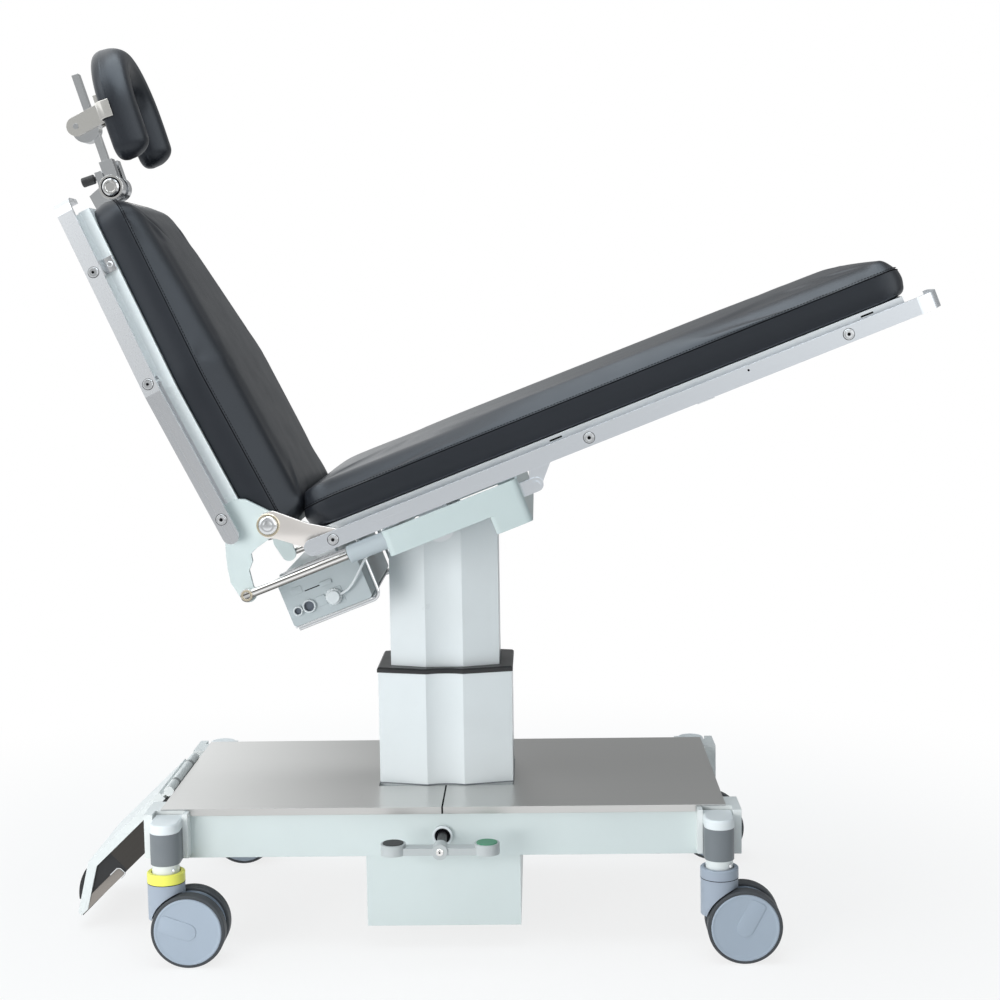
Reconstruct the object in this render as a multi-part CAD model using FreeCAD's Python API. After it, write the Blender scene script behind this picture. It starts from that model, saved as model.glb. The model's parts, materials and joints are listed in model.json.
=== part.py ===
"""Treatment and operating table: wheeled base, lifting column, tilting seat, raised back, headrest.

Millimetres. The origin lies on the floor under the column's axis. X runs from the head end to the
foot end, Y across the table, Z up. The table is drawn with its seat tilted and its back raised.
"""
import FreeCAD
import Part
import math
import os

V = FreeCAD.Vector
PARTS = "parts"

# Posture
SEAT_TILT = 21.0
BACK_RAISE = 63.0
HINGE_X = -280.0
HINGE_Z = 740.0

# Clearances
RUN_FIT = 0.05
SLIDE_GAP = 0.3
SHEET_GAP = 1.0

# Base: the cover, corners and casters take their places from the frame
COVER_END_OVERHANG = 41.5
COVER_SIDE_OVERHANG = 4.0
COVER_TOP = 251.0
COVER_SHEET = 2.0
COVER_LIP = 12.0
COVER_SEAM = 1.2
FRAME_LENGTH = 880.0
FRAME_HALF_WIDTH = 236.0
FRAME_BOTTOM = 165.0
FRAME_TUBE = 40.0
FRAME_WALL = 3.0
COVER_LENGTH = FRAME_LENGTH + 2 * COVER_END_OVERHANG
COVER_WIDTH = 2 * (FRAME_HALF_WIDTH + COVER_SIDE_OVERHANG)
CROSS_MEMBER_MARGIN = 31.0
POWER_BOX_MARGIN = 13.0
POWER_BOX_BOTTOM = 41.0
POWER_BOX_WALL = 2.0

# Casters
CASTER_OUT_X = 26.0
CASTER_OUT_Y = 49.0
CASTER_X = FRAME_LENGTH / 2 + CASTER_OUT_X
CASTER_Y = FRAME_HALF_WIDTH + CASTER_OUT_Y
CASTER_TRAIL = 40.0
WHEEL_RADIUS = 62.5
TYRE_DEPTH = 5.5
TYRE_ROUND = 3.0
WHEEL_WIDTH = 24.0
FORK_WIDTH = 18.0
WHEEL_SIDE_GAP = 2.0
WHEEL_TOP_GAP = 2.5
AXLE_RADIUS = 6.0
KING_PIN_RADIUS = 10.0
SOCKET_RADIUS = 23.0
SOCKET_BOTTOM = 148.0
SLEEVE_RADIUS = 25.0
SLEEVE_BOTTOM = 172.0
SLEEVE_TOP = 226.0
CAP_HEIGHT = 16.0
CASTER_RING_RADIUS = 32.0
CASTER_RING_BOTTOM = 141.0
CASTER_RING_HEIGHT = 17.0
CASTER_BODY_RADIUS = 31.5
CASTER_BODY_BOTTOM = 78.0
FORK_DISC_RADIUS = 50.0
BRACKET_INSET = 34.0
BRACKET_REACH = 40.0
BRACKET_OUT_Y = 26.0
BRACKET_FRONT = FRAME_HALF_WIDTH + BRACKET_OUT_Y
BRACKET_DEPTH = 56.0
BRACKET_TOP = COVER_TOP - COVER_SHEET - SHEET_GAP

# Brake pedal
BRAKE_Z = 201.0
BRAKE_REACH = 85.0
BRAKE_ARM = 78.0
BRAKE_SHAFT_RADIUS = 8.0
BRAKE_HUB_RADIUS = 13.0
BRAKE_BAR_WIDTH = 24.0
BRAKE_BAR_HEIGHT = 12.0
BRAKE_CUP_RADIUS = 21.0
BRAKE_CUP_HEIGHT = 18.0
BRAKE_PAD_RADIUS = 17.5
BRAKE_PAD_HEIGHT = 3.0
BUSH_FLANGE_RADIUS = 17.0
BUSH_RADIUS = 13.0
BUSH_FLANGE = 6.0

# Foot control
FOOT_KNUCKLE_RADIUS = 9.0
FOOT_HINGE_GAP = 1.5
FOOT_HINGE_X = -COVER_LENGTH / 2 - FOOT_KNUCKLE_RADIUS - FOOT_HINGE_GAP
FOOT_HINGE_Z = COVER_TOP - SHEET_GAP
FOOT_LEAN = 43.8
FOOT_HALF_WIDTH = 120.0
FOOT_FLAT = 196.0
FOOT_SLOPE_RUN = 79.0
FOOT_SLOPE_DROP = 52.0
FOOT_SHELL = 16.0
FOOT_DEPTH = 60.0
FOOT_TOP = 14.0
FOOT_HINGE_DEPTH = 11.0
FOOT_PIN_RADIUS = 5.0
FOOT_EAR_Y = 64.0
FOOT_EAR_WIDTH = 12.0
FOOT_BOX_START = 60.0
FOOT_BOX_END = 158.0
FOOT_BOX_INSET = 5.0
PEDAL_Y = 58.0
PEDAL_HALF_WIDTH = 50.0
PEDAL_HALF_LENGTH = 27.0
PEDAL_LIFT = 2.6
PEDAL_EDGE = 2.0
PEDAL_CROWN = 4.5

# Column
COLUMN_HALF_LENGTH = 97.0
COLUMN_HALF_DEPTH = 80.0
COLUMN_BOTTOM = 210.0
COLUMN_TOP_DROP = 40.0
COLUMN_TOP = HINGE_Z - COLUMN_TOP_DROP
SHROUD_STEP_LENGTH = 22.0
SHROUD_STEP_DEPTH = 20.0
SHROUD_HALF_LENGTH = COLUMN_HALF_LENGTH + SHROUD_STEP_LENGTH
SHROUD_HALF_DEPTH = COLUMN_HALF_DEPTH + SHROUD_STEP_DEPTH
SHROUD_TOP = 452.0
CROSS_MEMBER_X = SHROUD_HALF_LENGTH + CROSS_MEMBER_MARGIN
POWER_BOX_LENGTH = 2 * (SHROUD_HALF_LENGTH + POWER_BOX_MARGIN)
COLUMN_SLOPE = 19.5
COLUMN_WALL = 9.0
COLUMN_RUN_GAP = 3.0
CORNER_SETBACK = 22.0
FLUTE_HALF_WIDTH = 33.0
FLUTE_DEPTH = 7.0
COLLAR_HEIGHT = 9.0
COLLAR_OVERHANG = 2.0
COLLAR_BEVEL = 1.0
LIFT_CYLINDER_RADIUS = 40.0
LIFT_CYLINDER_TOP = 400.0
LIFT_ROD_RADIUS = 25.0
LIFT_ROD_BOTTOM = 160.0
HEAD_BLOCK_DROP = 100.0
HEAD_BLOCK_BOTTOM = COLUMN_TOP - HEAD_BLOCK_DROP
HEAD_BLOCK_HALF = 40.0
HEAD_BLOCK_DEPTH = 48.0
TRUNNION_RADIUS = 28.0
TILT_SHAFT_RADIUS = 16.0
TILT_U = 254.0
TILT_W = -118.0

# Table top, in the seat's own frame: u along the seat from the back hinge, w square to it
RAIL_OUTER_Y = 276.0
RAIL_THICKNESS = 8.0
RAIL_HEIGHT = 28.0
RAIL_W = -61.0
RAIL_GAP = 25.0
SEAT_RAIL_START = 43.0
SEAT_RAIL_END = 1166.0
RAIL_BEND = 40.0
RAIL_RETURN = 56.0
SEAT_SCREWS = (94.0, 550.0, 1004.0)
SPACER_RADIUS = 8.0
SCREW_HEAD_RADIUS = 6.5
SCREW_HEAD_HEIGHT = 3.0
SCREW_SOCKET_RADIUS = 2.6
PAN_START = 60.0
PAN_END = 1112.0
PAN_TOP = -38.0
PAN_DEPTH = 12.0
PAN_SHEET = 3.0
TUBE_Y = 150.0
TUBE_WIDTH = 30.0
TUBE_START = 40.0
TUBE_END = 1060.0
TUBE_BOTTOM = -79.0
TUBE_WALL = 2.5
TILT_EAR_THICKNESS = 10.0
TILT_EAR_RADIUS = 26.0
COVER_START = 172.0
COVER_END = 414.0
COVER_STEP = 347.0
COVER_LOW = -123.0
COVER_LOWEST = -154.0
COVER_PROUD = 3.0
COVER_HALF_WIDTH = RAIL_OUTER_Y + COVER_PROUD
COVER_WALL = 4.0
HINGE_PLATE = 8.0
HINGE_PIN_RADIUS = 12.0
HINGE_EYE_RADIUS = 20.0
HINGE_HEAD_RADIUS = 16.0
HINGE_HEAD_HEIGHT = 8.0
HINGE_PLATE_END = 118.0
CRANK_X = 87.0
CRANK_Z = -87.0
CRANK_PIN_RADIUS = 5.5
CRANK_END_RADIUS = 14.0
ROD_RADIUS = 7.5
EYE_RADIUS = 11.0
ROD_INSERTION = 110.0
SLEEVE_MOUTH = 106.0
SLEEVE_END = 400.0
ACTUATOR_RADIUS = 15.0
CLEVIS_U = 440.0
CLEVIS_W = -103.0
CLEVIS_PIN_RADIUS = 6.0

# Control box under the head end of the seat
BOX_START = -41.0
BOX_END = 104.0
BOX_TOP = -98.0
BOX_BOTTOM = -186.0
BOX_HALF_WIDTH = 175.0
BOX_WALL = 3.0
TRAY_SHEET = 3.0
TRAY_WIRE_RADIUS = 3.5
TRAY_WIRE_Y = 160.0
SOCKETS = ((-24.0, -161.0, 7.0), (-3.0, -160.0, 10.0))
SOCKET_PROUD = 5.0
PLUG_U = 43.0
PLUG_W = -160.0
PLUG_RADIUS = 11.0
PLUG_LENGTH = 14.0
LEAD_RADIUS = 2.25
LEAD_END_GAP = 0.2
LEAD_ROUTE = (
    (PLUG_U + PLUG_RADIUS + LEAD_END_GAP, -182.0, PLUG_W),
    (PLUG_U + 28.0, -182.0, PLUG_W),
    (98.0, -188.0, -138.0),
    (122.0, -192.0, -115.0),
    (150.0, -193.0, -106.0),
    (COVER_START - LEAD_END_GAP, -193.0, -106.0),
)

# Cushions: seam heights and tops above the pans
CUSHION_SIDE_GAP = 38.0
CUSHION_SHOULDER = 26.0
CUSHION_CROWN = 6.0
CUSHION_DRAW_IN = 3.0
CUSHION_END_SHARE = 0.45
SEAT_CUSHION_START = 44.0
SEAT_CUSHION_END = 1118.0
SEAT_CUSHION_SEAM = 43.0
SEAT_TOP_HEAD = 78.0
SEAT_TOP_FOOT = 67.0
SEAT_HEAD_ROUND = 76.0
SEAT_FOOT_ROUND = 22.0
BACK_CUSHION_START = 4.0
BACK_CUSHION_END = 611.0
BACK_CUSHION_SEAM = 46.0
BACK_TOP_LOW = 94.0
BACK_TOP_HIGH = 72.0
BACK_LOW_ROUND = 60.0
BACK_HIGH_ROUND = 34.0

# Back section, in the back's own frame: distances from the hinge towards the head
TAPER_START = 280.0
BACK_RAIL_END = 641.0
BACK_RAIL_NARROW = 195.0
BACK_RAIL_RETURN = 65.0
BACK_RAIL_BEND = 30.0
BACK_PAN_START = 30.0
BACK_PAN_END = 612.0
BACK_PAN_TOP = -27.0
BACK_PAN_DEPTH = 20.0
BACK_SCREWS = (45.0, 298.0, 506.0)
BACK_CRANK_TAIL = -64.0

# Headrest, from its pivot rod along the arm
HEAD_PIVOT_X = -647.0
HEAD_PIVOT_Z = -1.0
HEAD_LEAN = 9.5
HEAD_ROD_RADIUS = 15.0
HEAD_ROD_HALF_LENGTH = 38.0
HEAD_EAR_HALF_WIDTH = 10.0
HEAD_MOUNT_HALF_WIDTH = 70.0
HEAD_CLAMP_RADIUS = 22.0
HEAD_CLAMP_OUTER = 34.0
HEAD_CLAMP_SPLIT = 3.0
HEAD_BAR_START = 30.0
HEAD_BAR_END = 208.0
HEAD_BAR_THICKNESS = 12.0
HEAD_BAR_WIDTH = 20.0
KNOB_ALONG = 24.0
KNOB_RADIUS = 8.5
KNOB_LENGTH = 28.0
KNOB_STUD_RADIUS = 4.0
YOKE_ALONG = 121.0
YOKE_DROP = -26.0
YOKE_RADIUS = 17.0
YOKE_CHEEK = 6.0
YOKE_SKEW = 9.0
SLIDER_HALF_WIDTH = 14.0
SLIDER_ROUND = 24.0
YOKE_PIN_RADIUS = 5.0
PAD_BACK = 42.0
PAD_THICKNESS = 60.0
PAD_TOP = 232.0
PAD_TIP = 20.0
PAD_LEG_Y = 95.0
PAD_LEG_HALF_WIDTH = 31.0
PAD_ROUND = 20.0
PAD_PLATE = 8.0


def box(x0, x1, y0, y1, z0, z1):
    """Block between two corners."""
    return Part.makeBox(x1 - x0, y1 - y0, z1 - z0, V(x0, y0, z0))


def rod(start, end, radius):
    """Round bar from one point to another."""
    along = V(*end) - V(*start)
    return Part.makeCylinder(radius, along.Length, V(*start), along)


def bar_y(x, z, y0, y1, radius):
    """Round bar across the table."""
    return rod((x, y0, z), (x, y1, z), radius)


def bar_z(x, y, z0, z1, radius):
    """Upright round bar."""
    return rod((x, y, z0), (x, y, z1), radius)


def slab_xz(points, y0, y1):
    """Plate with an outline in X and Z, from y0 to y1."""
    corners = [V(x, y0, z) for x, z in points]
    face = Part.Face(Part.makePolygon(corners + corners[:1]))
    return face.extrude(V(0, y1 - y0, 0))


def slab_xy(points, z0, z1):
    """Plate with an outline in X and Y, from z0 to z1."""
    corners = [V(x, y, z0) for x, y in points]
    face = Part.Face(Part.makePolygon(corners + corners[:1]))
    return face.extrude(V(0, 0, z1 - z0))


def strap_xz(a, b, radius, y0, y1):
    """Round-ended flat bar between two centres in X and Z."""
    along = V(b[0] - a[0], 0, b[1] - a[1])
    side = V(-along.z, 0, along.x).normalize() * radius
    corners = [(a[0] + side.x, a[1] + side.z), (b[0] + side.x, b[1] + side.z),
               (b[0] - side.x, b[1] - side.z), (a[0] - side.x, a[1] - side.z)]
    ends = [bar_y(a[0], a[1], y0, y1, radius), bar_y(b[0], b[1], y0, y1, radius)]
    return join([slab_xz(corners, y0, y1)] + ends)


def closed(points):
    """A ring of points that ends where it starts."""
    return list(points) + [points[0]]


def join(shapes):
    """Weld shapes into one solid without seam lines."""
    return shapes[0].multiFuse(shapes[1:]).removeSplitter()


def round_edges(shape, radius, keep):
    """Round the edges that a test picks."""
    edges = [edge for edge in shape.Edges if keep(edge)]
    return shape.makeFillet(radius, edges)


def runs_along(edge, axis):
    """Tell whether an edge is a straight line along an axis."""
    ends = [vertex.Point for vertex in edge.Vertexes]
    if len(ends) < 2:
        return False
    step = ends[1] - ends[0]
    return abs(abs(step.dot(axis)) - step.Length) < 1e-6 and abs(edge.Length - step.Length) < 1e-6


def mirror_y(shape):
    """Twin on the other side of the table."""
    return shape.mirror(V(0, 0, 0), V(0, 1, 0))


def pair(shape):
    """A piece and its twin across the table."""
    return [shape, mirror_y(shape)]


def place(shape, origin, turn):
    """Turn a shape about Y and set it at a point."""
    moved = shape.copy()
    placement = FreeCAD.Placement(V(*origin), FreeCAD.Rotation(V(0, 1, 0), turn))
    moved.Placement = placement.multiply(moved.Placement)
    return moved


def on_seat(shape):
    """Set a shape drawn in the seat's frame into the table."""
    return place(shape, (HINGE_X, 0, HINGE_Z), -SEAT_TILT)


def on_back(shape):
    """Set a shape drawn in the back's frame into the table."""
    return place(shape, (HINGE_X, 0, HINGE_Z), BACK_RAISE)


def on_head(shape):
    """Set a shape drawn along the headrest arm into the table."""
    return on_back(place(shape, (HEAD_PIVOT_X, 0, HEAD_PIVOT_Z), HEAD_LEAN))


def on_foot_control(shape):
    """Set a shape drawn along the foot control into the table."""
    lowered = place(shape, (0, 0, -FOOT_HINGE_DEPTH), 0)
    return place(lowered, (FOOT_HINGE_X, 0, FOOT_HINGE_Z), 180.0 - FOOT_LEAN)


def save(name, solids):
    """Write one node's solids."""
    Part.makeCompound(solids).exportStep(os.path.join(PARTS, name + ".step"))


def column_wire(half_length, half_depth, z, flute):
    """Plan of the column at a height: sides, sloping faces and a straight or hollow middle in each face."""
    side = half_depth - CORNER_SETBACK
    half_flat = FLUTE_HALF_WIDTH
    edges = []
    for turn in (1, -1):
        corners = [V(turn * x, turn * y, z) for x, y in ((-half_length, -side), (-half_flat, -half_depth),
                                                         (half_flat, -half_depth), (half_length, -side))]
        bed = V(0, turn * (FLUTE_DEPTH - half_depth), z)
        middle = Part.makeLine(corners[1], corners[2])
        if flute:
            middle = Part.Arc(corners[1], bed, corners[2]).toShape()
        next_corner = V(turn * half_length, turn * side, z)
        edges += [Part.makeLine(corners[0], corners[1]), middle, Part.makeLine(corners[2], corners[3]),
                  Part.makeLine(corners[3], next_corner)]
    return Part.Wire(edges)


def column_slab(half_length, half_depth, flute, z0, z1):
    """Upright prism on the plan of the column."""
    return Part.Face(column_wire(half_length, half_depth, z0, flute)).extrude(V(0, 0, z1 - z0))


# Base

COVER_BOTTOM = COVER_TOP - COVER_SHEET
SHROUD_FLOOR = POWER_BOX_BOTTOM + POWER_BOX_WALL


def make_base_covers():
    """Two halves of the brushed sheet over the base, with folded lips and a column cut-out."""
    half = COVER_LENGTH / 2
    wide = COVER_WIDTH / 2
    outer = box(COVER_SEAM / 2, half, -wide, wide, COVER_TOP - COVER_LIP, COVER_TOP)
    inner = box(0, half - COVER_SHEET, COVER_SHEET - wide, wide - COVER_SHEET,
                COVER_TOP - COVER_LIP, COVER_BOTTOM)
    opening = box(-SHROUD_HALF_LENGTH - SHEET_GAP, SHROUD_HALF_LENGTH + SHEET_GAP,
                  -SHROUD_HALF_DEPTH - SHEET_GAP, SHROUD_HALF_DEPTH + SHEET_GAP,
                  COVER_TOP - COVER_LIP, COVER_TOP)
    lip_end = CASTER_X - BRACKET_INSET - SHEET_GAP
    lip_side = FRAME_HALF_WIDTH - BRACKET_DEPTH - SHEET_GAP
    foot = outer.cut(inner).cut(opening)
    for y0, y1 in ((-wide, -lip_side), (lip_side, wide)):
        foot = foot.cut(box(lip_end, half, y0, y1, COVER_TOP - COVER_LIP, COVER_BOTTOM))
    head = foot.mirror(V(0, 0, 0), V(1, 0, 0))
    save("base_covers", [head, foot])


def make_base_frame():
    """Painted box-tube frame: two long members, two end members and two cross members."""
    half = FRAME_LENGTH / 2
    near = FRAME_HALF_WIDTH - FRAME_TUBE
    wall = FRAME_WALL

    def tube(x0, x1, y0, y1):
        hollow = box(x0 + wall, x1 - wall, y0 + wall, y1 - wall, FRAME_BOTTOM + wall, COVER_BOTTOM - wall)
        return box(x0, x1, y0, y1, FRAME_BOTTOM, COVER_BOTTOM).cut(hollow)

    members = [tube(-half, half, -FRAME_HALF_WIDTH, -near), tube(-half, half, near, FRAME_HALF_WIDTH)]
    for x in (-half, half - FRAME_TUBE, -CROSS_MEMBER_X - FRAME_TUBE, CROSS_MEMBER_X):
        members.append(tube(x, x + FRAME_TUBE, -near, near))
    bush_hole = bar_y(0, BRAKE_Z, -FRAME_HALF_WIDTH, wall - FRAME_HALF_WIDTH, BUSH_RADIUS)
    save("base_frame", [member.cut(bush_hole) for member in members])


def make_power_box():
    """Painted case under the frame that holds the supply and carries the column's foot."""
    half = POWER_BOX_LENGTH / 2
    wide = FRAME_HALF_WIDTH - FRAME_WALL
    wall = POWER_BOX_WALL
    outer = box(-half, half, -wide, wide, POWER_BOX_BOTTOM, FRAME_BOTTOM)
    inner = box(wall - half, half - wall, wall - wide, wide - wall, SHROUD_FLOOR, FRAME_BOTTOM)
    save("power_box", [outer.cut(inner)])


def caster_points():
    """Names and stem centres of the four casters."""
    points = {}
    for end, x in (("head", -CASTER_X), ("foot", CASTER_X)):
        for side, y in (("near", -CASTER_Y), ("far", CASTER_Y)):
            points[end + "_" + side] = (x, y)
    return points


def make_corner_sockets():
    """Painted corner brackets with caster sockets, plastic sleeves round them and white caps."""
    inner_x = CASTER_X - BRACKET_INSET
    outer_x = CASTER_X + BRACKET_REACH
    frame_x = FRAME_LENGTH / 2
    back_y = FRAME_HALF_WIDTH - BRACKET_DEPTH
    plan = [(inner_x, BRACKET_FRONT), (outer_x, BRACKET_FRONT), (outer_x, back_y),
            (frame_x, back_y), (frame_x, FRAME_HALF_WIDTH), (inner_x, FRAME_HALF_WIDTH)]
    arm_half = SLEEVE_RADIUS / 2
    web_low = SLEEVE_BOTTOM + arm_half
    web_high = SLEEVE_TOP - arm_half
    slot_half = SLEEVE_RADIUS + SLIDE_GAP
    slot_back = FRAME_HALF_WIDTH + SHEET_GAP
    bracket = slab_xy(plan, SLEEVE_BOTTOM, BRACKET_TOP)
    bracket = bracket.cut(box(CASTER_X - slot_half, CASTER_X + slot_half, slot_back, CASTER_Y,
                              SLEEVE_BOTTOM, BRACKET_TOP))
    socket = bar_z(CASTER_X, CASTER_Y, SOCKET_BOTTOM, SLEEVE_TOP, SOCKET_RADIUS)
    web = box(CASTER_X - arm_half, CASTER_X + arm_half, FRAME_HALF_WIDTH, CASTER_Y, web_low, web_high)
    bracket = join([bracket, web, socket])
    pin_top = SLEEVE_TOP - arm_half + SHEET_GAP
    bracket = bracket.cut(bar_z(CASTER_X, CASTER_Y, SOCKET_BOTTOM, pin_top, KING_PIN_RADIUS + RUN_FIT))
    plan_block = box(CASTER_X - SLEEVE_RADIUS, CASTER_X + SLEEVE_RADIUS, slot_back + SLIDE_GAP, CASTER_Y,
                     SLEEVE_BOTTOM, SLEEVE_TOP)
    sleeve = join([plan_block, bar_z(CASTER_X, CASTER_Y, SLEEVE_BOTTOM, SLEEVE_TOP, SLEEVE_RADIUS)])
    sleeve = sleeve.cut(bar_z(CASTER_X, CASTER_Y, SLEEVE_BOTTOM, SLEEVE_TOP, SOCKET_RADIUS))
    sleeve = sleeve.cut(web)
    cap_back = COVER_WIDTH / 2 + SHEET_GAP
    cap_top = SLEEVE_TOP + CAP_HEIGHT
    cap_block = box(CASTER_X - SLEEVE_RADIUS, CASTER_X + SLEEVE_RADIUS, cap_back, CASTER_Y,
                    SLEEVE_TOP, cap_top)
    cap = join([cap_block, bar_z(CASTER_X, CASTER_Y, SLEEVE_TOP, cap_top, SLEEVE_RADIUS)])
    # The cap's tongue stands clear of the bracket that is higher than the sleeve
    cap_clear = cap.cut(bracket)
    cap = round_edges(cap_clear, CAP_HEIGHT / 4, lambda edge: is_cap_rim(edge, cap_top))
    nodes = {"corner_brackets": bracket, "caster_sleeves": sleeve, "caster_caps": cap}
    for name, far_foot in nodes.items():
        head = far_foot.mirror(V(0, 0, 0), V(1, 0, 0))
        save(name, pair(far_foot) + pair(head))


def is_cap_rim(edge, height):
    """Tell whether an edge is the front rim of a caster cap."""
    level = edge.BoundBox.ZMin > height - 1e-3
    return level and edge.BoundBox.YMax > COVER_WIDTH / 2 + 2 * SHEET_GAP


def make_caster(name, stem_x, stem_y):
    """One twin-wheel swivel caster that trails towards the foot end."""
    axle_x = stem_x + CASTER_TRAIL
    axle_z = WHEEL_RADIUS
    half_fork = FORK_WIDTH / 2
    inner = half_fork + WHEEL_SIDE_GAP
    outer = inner + WHEEL_WIDTH
    ring_top = CASTER_RING_BOTTOM + CASTER_RING_HEIGHT
    seat_z = SOCKET_BOTTOM - SLIDE_GAP
    core_radius = SOCKET_RADIUS + 2 * SHEET_GAP
    body = bar_z(stem_x, stem_y, CASTER_BODY_BOTTOM, CASTER_RING_BOTTOM, CASTER_BODY_RADIUS)
    core = bar_z(stem_x, stem_y, CASTER_RING_BOTTOM, seat_z, core_radius)
    fork_disc = bar_y(axle_x, axle_z, stem_y - half_fork, stem_y + half_fork, FORK_DISC_RADIUS)
    king_pin = bar_z(stem_x, stem_y, seat_z, SLEEVE_TOP - SLEEVE_RADIUS / 2, KING_PIN_RADIUS)
    ring = bar_z(stem_x, stem_y, CASTER_RING_BOTTOM, ring_top, CASTER_RING_RADIUS)
    ring = ring.cut(bar_z(stem_x, stem_y, CASTER_RING_BOTTOM, ring_top, core_radius))
    ring = round_edges(ring, CASTER_RING_HEIGHT / 8, lambda edge: is_ring_rim(edge, ring_top))
    housing = join([body, core, fork_disc])
    wheel_room = WHEEL_RADIUS + WHEEL_TOP_GAP
    for side in (-1, 1):
        near, far = sorted((stem_y + side * (half_fork + WHEEL_SIDE_GAP / 2), stem_y + side * (outer + 20)))
        housing = housing.cut(bar_y(axle_x, axle_z, near, far, wheel_room))
    housing = join([housing, king_pin])
    housing = housing.cut(bar_y(axle_x, axle_z, stem_y - half_fork, stem_y + half_fork,
                                AXLE_RADIUS + RUN_FIT))
    if name != "head_near":
        housing = join([housing, ring])
    else:
        save("caster_ring_" + name, [ring])
    save("caster_housing_" + name, [housing])
    rim_radius = WHEEL_RADIUS - TYRE_DEPTH
    axle = bar_y(axle_x, axle_z, stem_y - outer + TYRE_ROUND, stem_y + outer - TYRE_ROUND, AXLE_RADIUS)
    rims = [axle]
    tyres = []
    for side in (-1, 1):
        near, far = sorted((stem_y + side * inner, stem_y + side * outer))
        rims.append(bar_y(axle_x, axle_z, near, far, rim_radius))
        tyre = bar_y(axle_x, axle_z, near, far, WHEEL_RADIUS)
        tyre = round_edges(tyre, TYRE_ROUND, lambda edge: edge.Length > 2 * math.pi * rim_radius)
        tyres.append(tyre.cut(bar_y(axle_x, axle_z, near, far, rim_radius)))
    save("caster_wheels_" + name, [join(rims)])
    save("caster_tyres_" + name, tyres)


def is_ring_rim(edge, height):
    """Tell whether an edge is the outer top rim of a caster ring."""
    level = edge.BoundBox.ZMin > height - 1e-3
    return level and edge.Length > 2 * math.pi * (CASTER_RING_RADIUS - 1)


def make_brake():
    """Rocking brake pedal on a shaft in front of the base, with its flanged bush."""
    face = -FRAME_HALF_WIDTH
    hub_back = face - BRAKE_REACH + BRAKE_BAR_WIDTH / 2
    hub_front = hub_back - BRAKE_BAR_WIDTH
    flange = bar_y(0, BRAKE_Z, face - BUSH_FLANGE, face, BUSH_FLANGE_RADIUS)
    spigot = bar_y(0, BRAKE_Z, face, face + FRAME_WALL, BUSH_RADIUS)
    bush = join([flange, spigot])
    bore = bar_y(0, BRAKE_Z, face - BUSH_FLANGE, face + FRAME_WALL, BRAKE_SHAFT_RADIUS + RUN_FIT)
    save("brake_bush", [bush.cut(bore)])
    shaft = bar_y(0, BRAKE_Z, hub_back, face + FRAME_WALL, BRAKE_SHAFT_RADIUS)
    hub = bar_y(0, BRAKE_Z, hub_front - 2 * SHEET_GAP, hub_back + 2 * SHEET_GAP, BRAKE_HUB_RADIUS)
    bar_low = BRAKE_Z - BRAKE_BAR_HEIGHT / 2
    bar = box(-BRAKE_ARM, BRAKE_ARM, hub_front, hub_back, bar_low, bar_low + BRAKE_BAR_HEIGHT)
    pieces = [shaft, hub, bar]
    middle_y = (hub_front + hub_back) / 2
    cup_top = bar_low + BRAKE_CUP_HEIGHT
    for side in (-1, 1):
        cup = bar_z(side * BRAKE_ARM, middle_y, bar_low, cup_top, BRAKE_CUP_RADIUS)
        recess = bar_z(side * BRAKE_ARM, middle_y, cup_top - BRAKE_PAD_HEIGHT, cup_top, BRAKE_PAD_RADIUS)
        pieces.append(cup.cut(recess))
    lever = join(pieces)
    for side in (-1, 1):
        recess = bar_z(side * BRAKE_ARM, middle_y, cup_top - BRAKE_PAD_HEIGHT, cup_top, BRAKE_PAD_RADIUS)
        lever = lever.cut(recess)
    save("brake_lever", [lever])
    for name, side in (("brake_pad_black", -1), ("brake_pad_green", 1)):
        pad_top = cup_top + BRAKE_PAD_HEIGHT / 2
        pad = bar_z(side * BRAKE_ARM, middle_y, cup_top - BRAKE_PAD_HEIGHT, pad_top, BRAKE_PAD_RADIUS)
        pad = round_edges(pad, BRAKE_PAD_HEIGHT / 4, lambda edge: edge.BoundBox.ZMin > pad_top - 1e-3)
        save(name, [pad])


# Foot control, drawn along its panel: x down the panel from its hinge, z into its depth

FOOT_END = FOOT_FLAT + FOOT_SLOPE_RUN
SLOPE_TURN = math.degrees(math.atan2(FOOT_SLOPE_DROP, FOOT_SLOPE_RUN))


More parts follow.
